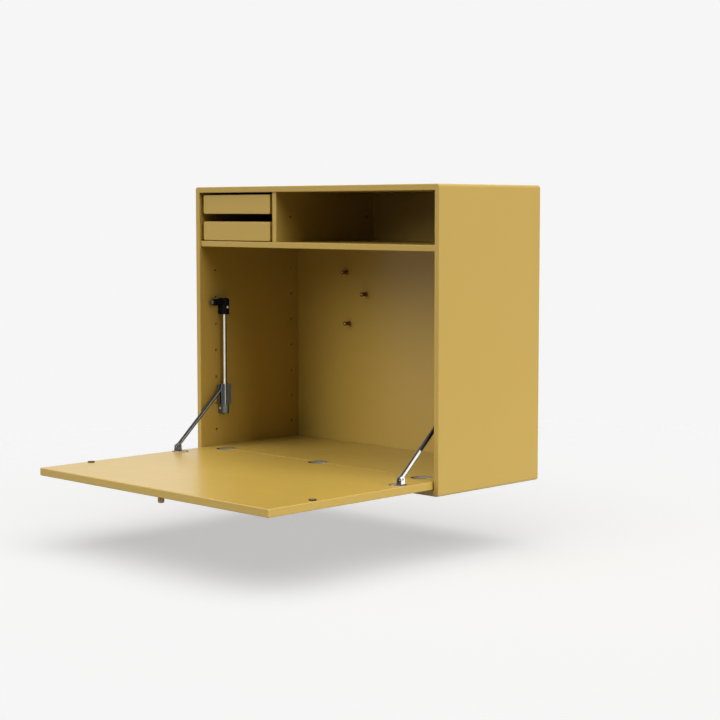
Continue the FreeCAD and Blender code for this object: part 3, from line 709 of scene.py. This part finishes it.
class Finishes:
    """Every finish on the desk, made once."""

    def __init__(self) -> None:
        """Build all the materials."""
        self.lacquer = Lacquer("mustard_lacquer", srgb(196, 163, 76)).material()
        self.beech = Beech("dowel_beech", srgb(205, 170, 124), (0.12, 1.0, 1.0)).material()
        # Painted reflection on the rods: banded round each rod, near-white where it faces the room,
        # darker towards the end panel and dimmer on its far side.
        painted_bright, painted_dark, painted_dim = srgb(252, 252, 248), srgb(36, 32, 26), srgb(104, 100, 92)
        self.chrome = {
            side: ChromeWithPaintedReflection("rod_chrome", side, painted_bright, painted_dark, painted_dim).material() for side in Side
        }
        # Painted light on the stay arms: a painted highlight on the outer face, painted shade with
        # a lighter painted streak on the inner face, and painted darker reflections on the edges
        # and the outer face's far end.
        self.arm_steel = PaintedLightBar(
            "arm_plate", srgb(252, 252, 250), srgb(82, 88, 98), srgb(34, 35, 38)
        ).material()
        self.bright_steel = DrawnSteel(
            "screw_steel", srgb(250, 252, 255), (0.2125, 0.2875), 0.3
        ).material()
        self.rail_steel = DrawnSteel(
            "rail_steel", srgb(186, 188, 190), (0.289, 0.391), 0.9, (0.05, 1.0, 1.0)
        ).material()
        self.hinge_zinc = CastZinc("hinge_nickel", srgb(182, 187, 192), (0.28, 0.42)).material()
        self.hinge_shadow = CastZinc("hinge_recess", srgb(88, 74, 62), (0.44, 0.58)).material()
        self.foot_zinc = CastZinc("foot_nickel", srgb(108, 120, 122), (0.34, 0.48)).material()
        # Painted light on the sockets: a painted highlight on the boot's outer side and painted
        # shade on its inner side, its front and its foot.
        self.socket = SocketCasting(
            "socket_nickel", srgb(250, 250, 250), srgb(116, 121, 128), srgb(160, 142, 118),
            srgb(58, 54, 50),
        ).material()
        grey, satin, matt_and_painted_shade = srgb(104, 114, 126), (0.45, 0.56), (0.55, 0.66)
        # Painted shade: near-black inside each slider's slot.
        self.slider_plastic = SlottedPlastic("slider_moulding", grey, srgb(8, 8, 8)).material()
        self.grey_plastic = MouldedPlastic("grey_moulding", grey, (0.37, 0.48)).material()
        self.black_plastic = MouldedPlastic("black_moulding", srgb(5, 5, 5), matt_and_painted_shade, 1.2).material()
        self.brown_plastic = MouldedPlastic("brown_moulding", srgb(118, 76, 26), satin).material()
        # Painted highlight: the pale colour of the discs on the pegs' ends.
        self.painted_end_highlight = MouldedPlastic("end_highlight_moulding", srgb(214, 178, 122), satin).material()
        self.socket_rim = MouldedPlastic("socket_edge", srgb(112, 92, 66), (0.5, 0.61)).material()
        self.strike_ring = MouldedPlastic("strike_rim", srgb(26, 18, 14), matt_and_painted_shade, 1.25).material()
        self.strike_face = MouldedPlastic(
            "strike_centre", srgb(150, 124, 108), matt_and_painted_shade, 1.25
        ).material()


@dataclass
class Shape:
    """A mesh in the making, built with bmesh operators about the z axis and then set in place."""

    mesh: bmesh.types.BMesh = field(default_factory=bmesh.new)

    def turned(self, profile: Profile, steps: int = 40) -> "Shape":
        """Turn a profile about the z axis.

        Args:
            profile: Radius and height of each point in millimetres, from the axis outwards and
                back to the axis, or as a closed ring that leaves the axis free.
            steps: Number of faces round the turn.

        Returns:
            The shape itself.
        """
        points = [
            self.mesh.verts.new((radius * MM, 0.0, height * MM)) for radius, height in profile
        ]
        edges = [self.mesh.edges.new(pair) for pair in zip(points, points[1:])]
        bmesh.ops.spin(
            self.mesh, geom=[*points, *edges], cent=(0, 0, 0), axis=(0, 0, 1),
            angle=math.tau, steps=steps, use_merge=True,
        )
        bmesh.ops.remove_doubles(self.mesh, verts=self.mesh.verts[:], dist=1e-7)
        return self

    def block(self, size: Triple, centre: Triple) -> "Shape":
        """Add a block.

        Args:
            size: Width, depth and height in millimetres.
            centre: Its centre in millimetres.

        Returns:
            The shape itself.
        """
        scale = Matrix.Diagonal((*(Vector(size) * MM), 1.0))
        matrix = Matrix.Translation(Vector(centre) * MM) @ scale
        bmesh.ops.create_cube(self.mesh, size=1.0, matrix=matrix)
        return self

    def bevelled(self, width: float) -> "Shape":
        """Chamfer the sharp edges.

        Args:
            width: Width of the chamfer in millimetres.

        Returns:
            The shape itself.
        """
        self.mesh.normal_update()
        edges = [edge for edge in self.mesh.edges if is_sharp(edge)]
        bmesh.ops.bevel(
            self.mesh, geom=edges, offset=width * MM, affect="EDGES", segments=1,
            profile=0.5, material=-1, clamp_overlap=True,
        )
        return self

    def moved(self, matrix: Matrix) -> "Shape":
        """Apply a transform to every vertex."""
        bmesh.ops.transform(self.mesh, matrix=matrix, verts=self.mesh.verts[:])
        return self

    def piece(
        self, name: str, material: Material, body: Body, slot: str,
        replaced: tuple[str, ...] = (),
    ) -> None:
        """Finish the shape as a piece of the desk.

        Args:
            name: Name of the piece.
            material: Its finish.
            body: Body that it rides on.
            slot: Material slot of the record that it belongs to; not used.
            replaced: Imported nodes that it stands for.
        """
        bmesh.ops.recalc_face_normals(self.mesh, faces=self.mesh.faces[:])
        data = bpy.data.meshes.new(name)
        self.mesh.to_mesh(data)
        self.mesh.free()
        data.materials.append(material)
        for polygon in data.polygons:
            polygon.use_smooth = True
        data.set_sharp_from_angle(angle=SHARP_FOR_SHADING)
        made = add_object(name, data)
        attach(made, body.value)
        if replaced:
            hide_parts(*replaced)
        LOG.info("piece %s: %d faces", name, len(data.polygons))


def is_sharp(edge: bmesh.types.BMEdge) -> bool:
    """True for an edge whose two faces meet at an angle that is worth a chamfer."""
    return len(edge.link_faces) == 2 and edge.calc_face_angle(0.0) > SHARP_FOR_CHAMFER


def add_object(name: str, data: bpy.types.ID) -> bpy.types.Object:
    """Put a mesh, lamp or camera in the scene.

    Args:
        name: Name of the object.
        data: What it shows.

    Returns:
        The new object.
    """
    made = bpy.data.objects.new(name, data)
    bpy.context.scene.collection.objects.link(made)
    return made


def vertices_of(items: Iterable[object]) -> list[bmesh.types.BMVert]:
    """The vertices among the items that an operator returns."""
    return [item for item in items if isinstance(item, bmesh.types.BMVert)]


def facing(place: Vector, direction: Vector) -> Matrix:
    """Transform that sets a shape at a place with its z axis along a direction."""
    return Matrix.Translation(place) @ direction.to_track_quat("Z", "Y").to_matrix().to_4x4()


def dress(nodes: Iterable[str], material: Material) -> None:
    """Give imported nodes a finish.

    Args:
        nodes: Names of the nodes.
        material: The finish.
    """
    for name in nodes:
        data = frame["nodes"][name].data
        data.materials.clear()
        data.materials.append(material)
        LOG.info("dressed %s with %s", name, material.name)


@dataclass(frozen=True)
class Screw:
    """Domed head of a small screw with a cross recess.

    Shares are of the head's radius, and levels and the recess's depth of its height.
    """

    radius: float = 3.2
    height: float = 1.2
    turn: float = 20.0
    recess_share: float = 0.62
    arm_share: float = 0.5
    rim_share: float = 0.78
    rim_level: float = 0.94
    skirt: Profile = ((1.2, 0.62), (1.0 / 0.936, 0.0))
    recess_taper: float = 0.6
    recess_depth: float = 0.75

    def cross(self, mesh: bmesh.types.BMesh) -> None:
        """Lay the outline of the recess: a grid of nine squares without its corners.

        Args:
            mesh: The empty mesh that it is laid in.
        """
        size = self.radius * self.recess_share * MM
        halfway = size / 2
        bmesh.ops.create_grid(mesh, x_segments=3, y_segments=3, size=size)
        corners = [
            face for face in mesh.faces
            if min(abs(part) for part in face.calc_center_median().xy) > halfway
        ]
        bmesh.ops.delete(mesh, geom=corners, context="FACES")
        for vertex in mesh.verts:
            for axis in range(2):
                if abs(vertex.co[axis]) < halfway:
                    vertex.co[axis] *= self.arm_share
        bmesh.ops.translate(mesh, vec=(0, 0, self.height * MM), verts=mesh.verts[:])

    def shape(self) -> Shape:
        """Build the head with its top along z, sitting on the plane at zero.

        Returns:
            The unplaced shape.
        """
        made = Shape()
        mesh = made.mesh
        self.cross(mesh)
        recess = mesh.faces[:]
        outline = [edge for edge in mesh.edges if edge.is_boundary]
        rim = bmesh.ops.create_circle(
            mesh, segments=24, radius=self.radius * self.rim_share * MM
        )["verts"]
        bmesh.ops.translate(mesh, vec=(0, 0, self.height * self.rim_level * MM), verts=rim)
        ring = list({edge for vertex in rim for edge in vertex.link_edges})
        bmesh.ops.bridge_loops(mesh, edges=outline + ring)
        for scale, level in self.skirt:
            lowered = bmesh.ops.extrude_edge_only(mesh, edges=ring)["geom"]
            ring = [item for item in lowered if isinstance(item, bmesh.types.BMEdge)]
            for vertex in vertices_of(lowered):
                vertex.co.x *= scale
                vertex.co.y *= scale
                vertex.co.z = self.height * level * MM
        pit = bmesh.ops.extrude_face_region(mesh, geom=recess)["geom"]
        floor = vertices_of(pit)
        bmesh.ops.delete(mesh, geom=recess, context="FACES_ONLY")
        for vertex in floor:
            vertex.co.x *= self.recess_taper
            vertex.co.y *= self.recess_taper
            vertex.co.z -= self.height * self.recess_depth * MM
        underside = [edge for edge in mesh.edges if edge.is_boundary]
        bmesh.ops.holes_fill(mesh, edges=underside, sides=0)
        return made.moved(Matrix.Rotation(math.radians(self.turn), 4, "Z"))

    def fit(
        self, name: str, place: Vector, direction: Vector, material: Material, body: Body
    ) -> None:
        """Set the screw's head on a surface whose outward normal is the direction."""
        self.shape().moved(facing(place, direction)).piece(name, material, body, "steel")


@dataclass
class SubAssembly:
    """Pieces of the desk that are dressed and built together."""

    finishes: Finishes


@dataclass
class Carcass(SubAssembly):
    """Lacquered boards, the steel strip they hang by and the hidden dowels."""

    boards: tuple[str, ...] = (
        "left_side_panel", "right_side_panel", "top_board", "bottom_board", "back_panel",
        "base_panel", "shelf", "divider",
    )
    dowels: tuple[str, ...] = ("shelf_dowels", "divider_dowels")

    def build(self) -> None:
        """Dress the boards, dowels and hanging rail."""
        dress(self.boards, self.finishes.lacquer)
        dress(self.dowels, self.finishes.beech)
        dress(["hanging_rail"], self.finishes.rail_steel)


@dataclass
class PegRow(SubAssembly):
    """Three turned pegs on the back panel."""

    places: Profile = ((167.0, 398.8), (226.0, 352.8), (175.0, 287.8))
    panel_front: float = 286.0
    radius: float = 5.0
    waist: float = 3.9
    length: float = 15.0
    head_depth: float = 3.4
    foot_depth: float = 2.0
    taper: float = 1.2
    dish_depth: float = 0.9
    highlight_profile: Profile = ((0.0, 0.4), (1.6, 0.35), (2.1, 0.0), (0.0, 0.0))
    highlight_depth: float = 0.75

    def profile(self) -> Profile:
        """Radius and height of the turning, from the dished end to the panel."""
        end, dish = self.length, self.length - self.dish_depth
        return (
            (0.0, dish), (self.radius * 0.45, dish + 0.2), (self.radius * 0.6, end),
            (self.radius * 0.88, end - 0.1), (self.radius, dish),
            (self.radius, end - self.head_depth),
            (self.waist, end - self.head_depth - self.taper),
            (self.waist, self.foot_depth + self.taper),
            (self.radius, self.foot_depth), (self.radius, 0.0), (0.0, 0.0),
        )

    def build(self) -> None:
        """Turn the pegs, and the pale discs of painted highlight on their ends, and set them on the
        panel.
        """
        for number, (x, z) in enumerate(self.places, 1):
            peg = Shape().turned(self.profile())
            peg.moved(facing(desk_point(x, self.panel_front, z), FORWARDS)).piece(
                f"peg_turning_{number}", self.finishes.brown_plastic, Body.CABINET, "peg_brown",
                ("pegs",),
            )
            # Painted highlight: a pale disc in the dished end of each peg.
            highlight_place = self.panel_front - self.length + self.highlight_depth
            end_highlight = Shape().turned(self.highlight_profile, steps=24)
            end_highlight.moved(facing(desk_point(x, highlight_place, z), FORWARDS)).piece(
                f"peg_end_highlight_{number}", self.finishes.painted_end_highlight, Body.CABINET, "peg_brown"
            )


@dataclass
class HingeLine(SubAssembly):
    """Three flap hinges, each of two half-round cups let in flush either side of the joint."""

    places: tuple[tuple[str, float], ...] = (("left", 65.5), ("middle", 348.0), ("right", 630.5))
    top: float = 27.5
    joint_front: float = 23.5
    joint_back: float = 26.3
    front_centre: float = 22.9
    front_radius: float = 13.5
    back_centre: float = 30.4
    back_radius: float = 17.0
    notch_half_width: float = 6.0
    notch_depth: float = 12.6
    plate_thickness: float = 0.45
    chamfer: float = 0.18

    def disc(self, centre: float, radius: float, joint: float, behind: bool) -> Shape:
        """Flat round plate, cut off straight along the joint.

        Args:
            centre: Place of the round edge's centre, in millimetres from the cabinet's front.
            radius: Its radius.
            joint: Place of the straight edge.
            behind: True for the plate behind the joint.

        Returns:
            The unplaced shape, about the hinge's own place across the cabinet.
        """
        made = Shape()
        bmesh.ops.create_circle(made.mesh, cap_ends=True, segments=72, radius=radius * MM)
        bmesh.ops.translate(made.mesh, vec=(0, centre * MM, 0), verts=made.mesh.verts[:])
        self.cut(made, (0, joint, 0), (0, 1, 0), clear_inner=behind, clear_outer=not behind)
        return made

    def cut(self, made: Shape, place: Triple, normal: Triple, **sides: bool) -> None:
        """Cut a plate along a plane and throw away the sides that are named, if any."""
        everything = [*made.mesh.verts, *made.mesh.edges, *made.mesh.faces]
        bmesh.ops.bisect_plane(
            made.mesh, geom=everything, plane_co=Vector(place) * MM, plane_no=normal, **sides
        )

    def notch(self, made: Shape) -> None:
        """Take out the middle of the front plate, where the tongue passes.

        Args:
            made: The plate.
        """
        end = self.joint_front - self.notch_depth
        for x in (-self.notch_half_width, self.notch_half_width):
            self.cut(made, (x, 0, 0), (1, 0, 0))
        self.cut(made, (0, end, 0), (0, 1, 0))
        middles = {face: face.calc_center_median() / MM for face in made.mesh.faces}
        taken = [
            face for face, middle in middles.items()
            if abs(middle.x) < self.notch_half_width and middle.y > end
        ]
        bmesh.ops.delete(made.mesh, geom=taken, context="FACES")

    def thickened(self, made: Shape) -> Shape:
        """Give a plate its thickness and chamfer its edges.

        Args:
            made: The flat plate.

        Returns:
            The same plate.
        """
        outer = bmesh.ops.extrude_face_region(made.mesh, geom=made.mesh.faces[:])["geom"]
        lift = (0, 0, self.plate_thickness * MM)
        bmesh.ops.translate(made.mesh, vec=lift, verts=vertices_of(outer))
        return made.bevelled(self.chamfer)

    def build(self) -> None:
        """Dress the castings and pins and fit the covers."""
        for name, x in self.places:
            dress([f"{name}_hinge_base"], self.finishes.hinge_zinc)
            dress([f"{name}_hinge_cup"], self.finishes.hinge_shadow)
            dress([f"{name}_hinge_pin"], self.finishes.bright_steel)
            place = Matrix.Translation(desk_point(x, 0.0, self.top))
            back = self.disc(self.back_centre, self.back_radius, self.joint_back, True)
            self.thickened(back).moved(place).piece(
                f"{name}_hinge_back_cover", self.finishes.hinge_zinc, Body.CABINET, "hinge_grey"
            )
            front = self.disc(self.front_centre, self.front_radius, self.joint_front, False)
            self.notch(front)
            self.thickened(front).moved(place).piece(
                f"{name}_hinge_front_cover", self.finishes.hinge_zinc, Body.FLAP, "hinge_grey"
            )


@dataclass
class Stay(SubAssembly):
    """Braked stay at one end of the cabinet."""

    side: Side
    inset: float = 25.5
    rod_place: float = 57.0
    bracket_screw: Screw = Screw(2.9, 1.3, 12.0)
    bracket_screw_place: Triple = (35.2, 57.0, 326.5)
    foot_screw: Screw = Screw(2.6, 1.0, 33.0)
    foot_screw_place: Triple = (18.6, 48.0, 108.5)
    rib_levels: tuple[float, ...] = (124.0, 128.0, 132.0, 136.0, 140.0)
    rib_size: Triple = (9.8, 9.0, 1.2)
    rib_setback: float = 9.0
    rib_chamfer: float = 0.25
    lip_size: Triple = (1.3, 5.6, 42.4)
    lip_place: Triple = (5.2, 2.0, 139.5)
    lip_chamfer: float = 0.2
    strike_place: Pair = (-299.0, 29.5)
    strike_profile: ClassVar[Profile] = (
        (0.0, 0.25), (1.2, 0.25), (1.5, 0.55), (4.4, 0.5), (4.8, 0.0), (0.0, 0.0),
    )
    socket_place: Triple = (33.0, -74.7, 28.5)
    rim_profile: ClassVar[Profile] = (
        (15.2, 0.0), (15.5, 0.5), (16.3, 0.6), (16.9, 0.4), (17.0, 0.0), (15.2, 0.0),
    )
    socket_screws: tuple[Screw, ...] = (Screw(2.8, 0.7, 55.0), Screw(2.8, 0.7, 95.0))
    socket_screw_offset: Pair = (4.5, 9.5)

    @property
    def slider_body(self) -> Body:
        """Body that the slider's own pieces ride on."""
        return Body.LEFT_SLIDER if self.side is Side.LEFT else Body.RIGHT_SLIDER

    def name(self, part: str) -> str:
        """Name of a part at this end."""
        return f"{self.side.value}_{part}"

    def point(self, x: float, y: float, z: float) -> Vector:
        """Place that lies x millimetres in from this end's outer face."""
        return desk_point(self.side.x(x), y, z)

    def dress_castings(self) -> None:
        """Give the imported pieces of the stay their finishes."""
        for part, material in {
            "stay_bracket": self.finishes.black_plastic,
            "stay_rod": self.finishes.chrome[self.side],
            "stay_foot": self.finishes.foot_zinc,
            "slider": self.finishes.slider_plastic,
            "arm": self.finishes.arm_steel,
            "catch_magnet": self.finishes.foot_zinc,
            "arm_socket": self.finishes.socket,
            "socket_pin": self.finishes.foot_zinc,
            "strike": self.finishes.strike_ring,
        }.items():
            dress([self.name(part)], material)

    def fit_screws(self) -> None:
        """Fit the bracket's clamp screw and the foot's fixing screw."""
        inwards = Vector((self.side.inwards(), 0, 0))
        self.bracket_screw.fit(
            self.name("bracket_screw"), self.point(*self.bracket_screw_place), inwards,
            self.finishes.bright_steel, Body.CABINET,
        )
        self.foot_screw.fit(
            self.name("foot_screw"), self.point(*self.foot_screw_place), FORWARDS,
            self.finishes.bright_steel, Body.CABINET,
        )

    def build_slider_ribs(self) -> None:
        """Mould ribs across the slider's rear rib and the lip that half covers its open side."""
        ribs = Shape()
        for level in self.rib_levels:
            ribs.block(self.rib_size, (0.0, self.rib_setback, level))
        place = self.point(self.inset, self.rod_place, 0.0)
        ribs.bevelled(self.rib_chamfer).moved(Matrix.Translation(place)).piece(
            self.name("slider_ribs"), self.finishes.grey_plastic, self.slider_body, "slider_grey"
        )
        sideways, backwards, level = self.lip_place
        lip = Shape().block(self.lip_size, (0.0, backwards, level)).bevelled(self.lip_chamfer)
        place = self.point(self.inset + sideways, self.rod_place, 0.0)
        lip.moved(Matrix.Translation(place)).piece(
            self.name("slider_lip"), self.finishes.grey_plastic, self.slider_body, "slider_grey"
        )

    def build_strike_centre(self) -> None:
        """Turn the paler button in the middle of the strike disc."""
        centre = self.point(self.inset, *self.strike_place)
        Shape().turned(self.strike_profile).moved(Matrix.Translation(centre)).piece(
            self.name("strike_centre"), self.finishes.strike_face, Body.FLAP, "strike_steel"
        )

    def build_socket_cover(self) -> None:
        """Turn the socket's raised rim and fit its two screws."""
        centre = self.point(*self.socket_place)
        Shape().turned(self.rim_profile, steps=64).moved(Matrix.Translation(centre)).piece(
            self.name("socket_rim"), self.finishes.socket_rim, Body.FLAP, "socket_nickel"
        )
        sideways, apart = self.socket_screw_offset
        for number, (screw, offset) in enumerate(zip(self.socket_screws, (-apart, apart)), 1):
            place = centre + Vector((self.side.inwards(sideways), offset, 0)) * MM
            screw.fit(
                self.name(f"socket_screw_{number}"), place, UPWARDS, self.finishes.hinge_zinc,
                Body.FLAP,
            )

    def build(self) -> None:
        """Dress the stay and add its small pieces."""
        self.dress_castings()
        self.fit_screws()
        self.build_slider_ribs()
        self.build_strike_centre()
        self.build_socket_cover()


@dataclass
class Flap(SubAssembly):
    """The fold-down desk top and its knob."""

    def build(self) -> None:
        """Dress the panel and the knob."""
        dress(["flap_panel", "knob"], self.finishes.lacquer)


@dataclass
class Tray(SubAssembly):
    """One pull-out tray on its pair of runners."""

    name: str
    parts: tuple[str, ...] = ("front", "left_side", "right_side", "back", "bottom")

    def build(self) -> None:
        """Dress the tray and its runners."""
        runners = [f"{self.name}_{side.value}_runner" for side in Side]
        dress([f"{self.name}_{part}" for part in self.parts], self.finishes.lacquer)
        dress(runners, self.finishes.black_plastic)


@dataclass(frozen=True)
class Softbox:
    """Broad lamp, far enough away to light the whole desk evenly."""

    name: str
    towards: Triple
    strength: float
    spread: float
    lit: Lit = Lit.DESK

    def hang(self, receivers: bpy.types.Collection) -> None:
        """Hang the lamp in the direction that it shines from.

        Args:
            receivers: The objects that it shines on.
        """
        data = bpy.data.lights.new(self.name, "SUN")
        data.energy = self.strength
        data.angle = math.radians(self.spread)
        lamp = add_object(self.name, data)
        lamp.rotation_euler = Vector(self.towards).to_track_quat("Z", "Y").to_euler()
        lamp.light_linking.receiver_collection = receivers


@dataclass
class Studio:
    """Pale floor, soft light from all round and above, and the camera."""

    background: Colour = srgb(246, 246, 246)
    floor_height: float = -125.0
    floor_half_size: float = 2.09
    floor_reach: float = 1.9
    floor_fade: float = 0.35
    floor_albedo: float = 0.66
    floor_glow: float = 0.505
    ambient: float = 0.02
    lens: float = 85.05
    sensor: float = 36.0
    clipping: Pair = (0.1, 30.0)
    camera_place: Triple = (2798.5, -2330.41, 531.01)
    camera_turn: float = 44.7175
    camera_dip: float = 4.9923
    lamps: tuple[Softbox, ...] = (
        Softbox("overhead_softbox", (-0.06, -0.08, 1.0), 2.04, 56.0),
        Softbox("front_softbox", (-0.29, -0.8, 0.53), 1.66, 50.0),
        Softbox("right_softbox", (1.0, 0.12, 0.35), 2.72, 40.0),
        Softbox("floor_softbox", (0.2, -0.08, 1.0), 1.95, 95.0, Lit.FLOOR),
    )

    def build_world(self) -> None:
        """Make the world plain to the eye and a soft lamp to everything else."""
        world = bpy.data.worlds.new("studio")
        bpy.context.scene.world = world
        world.use_nodes = True
        graph = NodeTree(world.node_tree)
        lamp = graph.node("ShaderNodeBackground", Color=WHITE, Strength=self.ambient)
        plain = graph.node("ShaderNodeBackground", Color=self.background)
        output = graph.node("ShaderNodeOutputWorld")
        mixed = graph.mixed(graph.seen(), lamp.outputs[0], plain.outputs[0])
        graph.link(mixed, output.inputs["Surface"])

    def floor_material(self) -> Material:
        """Pale matt floor that fades out well away from the desk and is clear from below.

        Returns:
            The floor's material.
        """
        graph = NodeGraph("studio_floor")
        graph.surface(
            Base_Color=toned(WHITE, self.floor_albedo), Roughness=1.0, Specular_IOR_Level=0.0,
            Emission_Color=WHITE,
        )
        glow = graph.calculate("MULTIPLY", graph.seen(), self.floor_glow)
        graph.link(glow, graph.shader.inputs["Emission Strength"])
        gradient = graph.node("ShaderNodeTexGradient")
        gradient.gradient_type = "SPHERICAL"
        reach = 1.0 / self.floor_reach
        graph.link(graph.place(Scale=(reach, reach, 0.0)), gradient.inputs["Vector"])
        near = graph.between(gradient.outputs["Fac"], (0.0, self.floor_fade))
        below = graph.node("ShaderNodeNewGeometry").outputs["Backfacing"]
        above = graph.calculate("SUBTRACT", 1.0, below)
        clear = graph.node("ShaderNodeBsdfTransparent")
        shown = graph.calculate("MULTIPLY", near, above)
        mixed = graph.mixed(shown, clear.outputs[0], graph.shader.outputs[0])
        graph.link(mixed, graph.output.inputs["Surface"])
        return graph.material

    def build_floor(self) -> None:
        """Lay the floor below the desk."""
        mesh = bmesh.new()
        bmesh.ops.create_grid(mesh, x_segments=1, y_segments=1, size=self.floor_half_size)
        middle = desk_point(CABINET_WIDTH / 2, 0.0, self.floor_height)
        bmesh.ops.translate(mesh, vec=middle, verts=mesh.verts[:])
        data = bpy.data.meshes.new("studio_floor")
        mesh.to_mesh(data)
        mesh.free()
        data.materials.append(self.floor_material())
        floor = add_object("studio_floor", data)

    def build_camera(self) -> None:
        """Set the camera to the front and right of the desk, at about its screws' height."""
        data = bpy.data.cameras.new("camera")
        data.lens = self.lens
        data.sensor_width = self.sensor
        data.clip_start, data.clip_end = self.clipping
        camera = add_object("camera", data)
        camera.location = desk_point(*self.camera_place)
        tilt = math.radians(90 - self.camera_dip)
        camera.rotation_euler = (tilt, 0.0, math.radians(self.camera_turn))
        bpy.context.scene.camera = camera

    def build(self) -> None:
        """Set up the whole studio."""
        bpy.context.scene.view_settings.view_transform = "Standard"
        bpy.context.scene.cycles.diffuse_bounces = 1
        self.build_camera()
        self.build_world()
        self.build_floor()

    def light(self) -> None:
        """Hang the lamps, once every piece of the desk is there."""
        receivers = {lit: bpy.data.collections.new(lit.value) for lit in Lit}
        for item in bpy.context.scene.objects:
            if item.type == "MESH":
                lit = Lit.FLOOR if item.name == "studio_floor" else Lit.DESK
                receivers[lit].objects.link(item)
        for lamp in self.lamps:
            lamp.hang(receivers[lamp.lit])


def main() -> None:
    """Build the studio and every sub-assembly in order."""
    logging.basicConfig(level=logging.INFO, format="%(name)s: %(message)s")
    studio = Studio()
    studio.build()
    finishes = Finishes()
    Carcass(finishes).build()
    PegRow(finishes).build()
    HingeLine(finishes).build()
    Flap(finishes).build()
    for side in Side:
        Stay(finishes, side).build()
    for name in ("upper_tray", "lower_tray"):
        Tray(finishes, name).build()
    studio.light()


if __name__ == "__main__":
    main()
